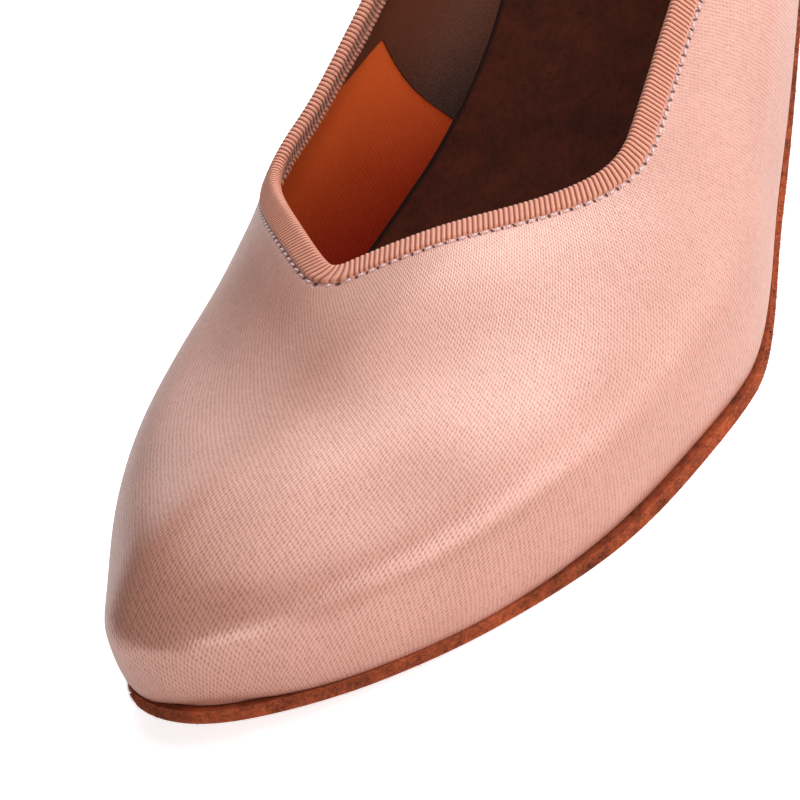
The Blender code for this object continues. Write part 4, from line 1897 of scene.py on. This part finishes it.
@dataclass
class CoveredHeel:
    """The satin-covered heel block and the suede-faced top piece under it."""

    last: Last
    tip_thickness: float = 4.0 * MM
    tip_inset: float = 0.3 * MM
    breast_hollow: float = 1.5 * MM
    breast_points: int = 40
    seat_points: int = 180
    rings: int = 90
    tip_rings: int = 9
    rim: float = 0.35 * MM
    tip_rim: float = 0.30 * MM

    def seat(self) -> np.ndarray:
        """Plan of the heel's seat: the feather line behind the breast, closed by a hollow breast line.

        Returns:
            Plan points from the middle of the breast, round the back.
        """
        fine = np.linspace(0.0, 0.5, 4000)
        along = self.last.outline(fine)[:, 1]
        start = self.last.breast + self.last.gap
        first = float(np.interp(start, along, fine))
        outer = np.linspace(first, 0.5, self.seat_points)
        plan = self.last.outline(np.concatenate([outer, 1.0 - outer[-2::-1]]))
        share = np.linspace(-1.0, 1.0, self.breast_points + 2)[1:-1]
        middle = (plan[0, 0] + plan[-1, 0]) / 2
        across = middle + share * (plan[0, 0] - plan[-1, 0]) / 2
        breast = np.column_stack([across, start + self.breast_hollow * (1 - share**2)])
        centre_line = self.breast_points // 2
        return np.concatenate([breast[centre_line:], plan, breast[:centre_line]])

    def shares(self) -> tuple[np.ndarray, np.ndarray]:
        """Seat points as shares of the top section's width and depth.

        Returns:
            Shares across and shares from front to back.
        """
        seat = self.seat()
        top = HEEL[-1]
        front = top.front * self.last.length
        back = top.back * self.last.length
        return (seat[:, 0] - top.side * MM) / (top.half_width * MM), (seat[:, 1] - front) / (back - front)

    def ring(self, level: float, u: np.ndarray, v: np.ndarray) -> np.ndarray:
        """Points of the block's section at a level from 0 at the top piece to 1 at the seat.

        Args:
            level: The level.
            u: Shares of the half width.
            v: Shares from front to back.

        Returns:
            The points.
        """
        places = column(HEEL, "level")
        length = self.last.length
        here = np.array([level])
        front, back = (natural_spline(places, column(HEEL, n, length), here)[0] for n in ("front", "back"))
        width, side = (natural_spline(places, column(HEEL, n, MM), here)[0] for n in ("half_width", "side"))
        x = side + u * width
        y = front + v * (back - front)
        low = self.tip_thickness + self.last.gap
        z = low + level * (self.last.over_sole(y, self.last.sole_thickness) - low)
        return np.column_stack([x, y, z]) - self.last.centre()

    def turned(self, name: str, rings: Sequence[np.ndarray], edge: float) -> bpy.types.Object:
        """Closes a stack of rings into a solid with softened rims.

        Args:
            name: The object's name.
            rings: Closed sections from the lowest to the highest.
            edge: Radius of the rims.

        Returns:
            The solid.
        """
        surface = np.stack([np.concatenate([ring, ring[:1]]) for ring in rings])
        piece = draped(name, surface, {"cloth": arc_table(surface)})
        weld(piece)
        only(piece)
        bpy.ops.object.mode_set(mode="EDIT")
        bpy.ops.mesh.select_mode(type="EDGE")
        bpy.ops.mesh.select_all(action="DESELECT")
        bpy.ops.mesh.select_non_manifold(extend=False)
        bpy.ops.mesh.edge_face_add()
        bpy.ops.mesh.select_all(action="DESELECT")
        bpy.ops.object.mode_set(mode="OBJECT")
        apply_modifier(piece, "BEVEL", width=edge, segments=3, limit_method="ANGLE",
                       angle_limit=math.radians(60))
        smooth(piece, 40.0)
        return piece

    def build(self) -> tuple[bpy.types.Object, bpy.types.Object]:
        """Builds the block and the top piece.

        Returns:
            The block and the top piece.
        """
        u, v = self.shares()
        levels = np.linspace(0.0, 1.0, self.rings)
        block = self.turned("covered_heel", [self.ring(level, u, v) for level in levels], self.rim)
        row = HEEL[0]
        x = row.side * MM + u * (row.half_width * MM - self.tip_inset)
        front = row.front * self.last.length + self.tip_inset
        back = row.back * self.last.length - self.tip_inset
        y = front + v * (back - front)
        rings = [np.column_stack([x, y, np.full(len(x), z)]) - self.last.centre()
                 for z in np.linspace(0.0, self.tip_thickness, self.tip_rings)]
        return block, self.turned("heel_top_piece", rings, self.tip_rim)


class Panel(NamedTuple):
    """A soft light: its name, where it stands seen from the shoe, and its watts."""

    name: str
    direction: tuple[float, float, float]
    power: float


PANELS = (
    Panel("back_left_panel", (-0.55, 0.75, 0.36), 2.4),
    Panel("back_panel", (0.0, 0.69, 0.72), 7.2),
    Panel("top_panel", (0.0, 0.20, 0.98), 2.9),
    Panel("top_right_panel", (0.45, 0.50, 0.74), 3.9),
    Panel("side_panel", (0.87, 0.0, 0.50), 6.9),
    Panel("rear_panel", (0.75, 0.60, 0.20), 4.1),
    Panel("front_panel", (0.30, -0.90, 0.30), 5.5),
)


@dataclass
class Studio:
    """Floor, soft panels, sky fill and the camera."""

    azimuth: float = 31.465
    elevation: float = 27.393
    roll: float = -16.631
    pixels_per_metre: float = 7431.0
    picture: float = 800.0
    film: float = 36.0
    distance: float = 1.1
    aim: tuple[float, float, float] = (1.925 * MM, -56.70 * MM, 25.0 * MM)
    slide: tuple[float, float] = (-0.829 * MM, -7.808 * MM)
    middle: tuple[float, float, float] = (0.0, -0.03, 0.03)
    floor_glow: float = 0.12
    floor_white: float = 0.62
    floor_size: float = 12.0
    sky: float = 0.02
    panel_size: tuple[float, float] = (0.9, 0.7)
    panel_distance: float = 1.2

    def axes(self) -> tuple[Vector, Vector, Vector]:
        """Works out how the camera is turned.

        Returns:
            Its right, up and backward directions.
        """
        turn, rise, roll = (math.radians(a) for a in (self.azimuth, self.elevation, self.roll))
        level = Vector((math.cos(turn), math.sin(turn), 0.0))
        back = Vector((math.sin(turn) * math.cos(rise), -math.cos(turn) * math.cos(rise), math.sin(rise)))
        up = back.cross(level)
        right = level * math.cos(roll) + up * math.sin(roll)
        return right, up * math.cos(roll) - level * math.sin(roll), back

    def camera(self) -> None:
        """Places the camera at the photograph's angle."""
        right, up, back = self.axes()
        target = Vector(self.aim) + right * self.slide[0] + up * self.slide[1]
        data = bpy.data.cameras.new("camera")
        data.sensor_width = self.film
        data.lens = self.film * self.pixels_per_metre * self.distance / self.picture
        data.clip_start = 0.05
        data.clip_end = 30.0
        piece = linked("camera", data)
        turn = Matrix((right, up, back)).transposed().to_4x4()
        piece.matrix_world = Matrix.Translation(target + back * self.distance) @ turn
        bpy.context.scene.camera = piece

    def light(self, panel: Panel) -> None:
        """Adds a soft panel that faces the shoe.

        Args:
            panel: Its name, direction and power.
        """
        data = bpy.data.lights.new(panel.name, "AREA")
        data.shape = "RECTANGLE"
        data.size, data.size_y = self.panel_size
        data.energy = panel.power
        piece = linked(panel.name, data)
        away = Vector(panel.direction).normalized()
        piece.location = Vector(self.middle) + away * self.panel_distance
        piece.rotation_euler = away.to_track_quat("Z", "Y").to_euler()

    def floor(self) -> None:
        """Adds a wide pale floor, white to the camera and a dim glow to everything else."""
        bpy.ops.mesh.primitive_plane_add(size=self.floor_size)
        piece = bpy.context.object
        piece.name = "floor"
        made = bpy.data.materials.new("floor_white")
        made.use_nodes = True
        sketch = Sketch(made.node_tree)
        shade = sketch.cloud(sketch.object_place(), 3.0, 2.0)
        shader = made.node_tree.nodes["Principled BSDF"]
        white = sketch.tint(shade, linear(250, 250, 250), linear(254, 254, 254))
        sketch.feed(shader.inputs["Base Color"], white)
        shader.inputs["Roughness"].default_value = 0.6
        shader.inputs["Emission Strength"].default_value = 1.0
        seen = sketch.node("ShaderNodeLightPath").outputs["Is Camera Ray"]
        glow = sketch.math("MULTIPLY_ADD", seen, self.floor_white, self.floor_glow)
        sketch.feed(shader.inputs["Emission Color"], glow)
        piece.data.materials.append(made)

    def build(self) -> None:
        """Sets up the whole studio."""
        self.camera()
        self.floor()
        world = bpy.data.worlds.new("studio_fill")
        world.use_nodes = True
        sky = world.node_tree.nodes["Background"].inputs
        sky["Color"].default_value = (1.0, 1.0, 1.0, 1.0)
        sky["Strength"].default_value = self.sky
        bpy.context.scene.world = world
        bpy.context.scene.view_settings.view_transform = "Standard"
        for panel in PANELS:
            self.light(panel)


def dress(piece: bpy.types.Object, look: bpy.types.Material, replaced: str | None = None) -> None:
    """Gives a piece its material and its place in the frame.

    Args:
        piece: The finished piece.
        look: Its material.
        replaced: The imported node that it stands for, if it does.
    """
    piece.data.materials.clear()
    piece.data.materials.append(look)
    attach(piece, "root")
    if replaced:
        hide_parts(replaced)
    LOG.info("%s: %d faces", piece.name, len(piece.data.polygons))


def main() -> None:
    """Builds the studio and the shoe, piece by piece."""
    logging.basicConfig(level=logging.INFO, format="%(message)s")
    Studio().build()
    last = Last()
    weaves = Weaves()
    for crease in CREASES:
        LOG.info("%s: %.1f mm", crease.name, crease.depth)
    form = Form(last, CREASES)
    upper, edge = SatinUpper(form).build()
    stitch = StitchRow(edge, "topline_stitches", 3.25 * MM)
    satin = Satin("rose_satin_cloth", 0.32, stitch_pitch=edge.length / stitch.count(),
                  stitch_depth=stitch.depth, edge_length=edge.length)
    dress(upper, satin.make(weaves), "upper")
    sock = Insole(last)
    vamp, quarter = Linings(form, sock).build()
    dress(vamp, LiningTwill("orange_lining_twill", 0.8).make(weaves))
    dress(quarter, LiningLeather("brown_lining_leather", 0.5).make(weaves))
    tape = Grosgrain("ribbed_grosgrain", 0.55)
    dress(Binding(edge).build(), tape.make(weaves), "topline_binding")
    dress(stitch.build(), Thread("lilac_thread", 0.6).make(weaves))
    brown = Suede("brown_sock", 0.9, (86, 36, 20), (48, 17, 8), pits=560.0, pit_share=0.45,
                  relief=0.08 * MM, rim_map="rim")
    dress(sock.build(), brown.make(weaves), "insole")
    suede = Suede("split_suede", 0.95, fibres=2600.0, pit_share=0.6).make(weaves)
    sole = Outsole(last)
    dress(sole.build(), suede, "outsole")
    dress(sole.nap(), suede)
    block, tip = CoveredHeel(last).build()
    dress(block, Satin("heel_satin_cover", 0.40).make(weaves), "heel")
    top_piece = Suede("top_piece_suede", 0.9, (96, 62, 48), (36, 20, 14))
    dress(tip, top_piece.make(weaves), "heel_tip")


if __name__ == "__main__":
    main()
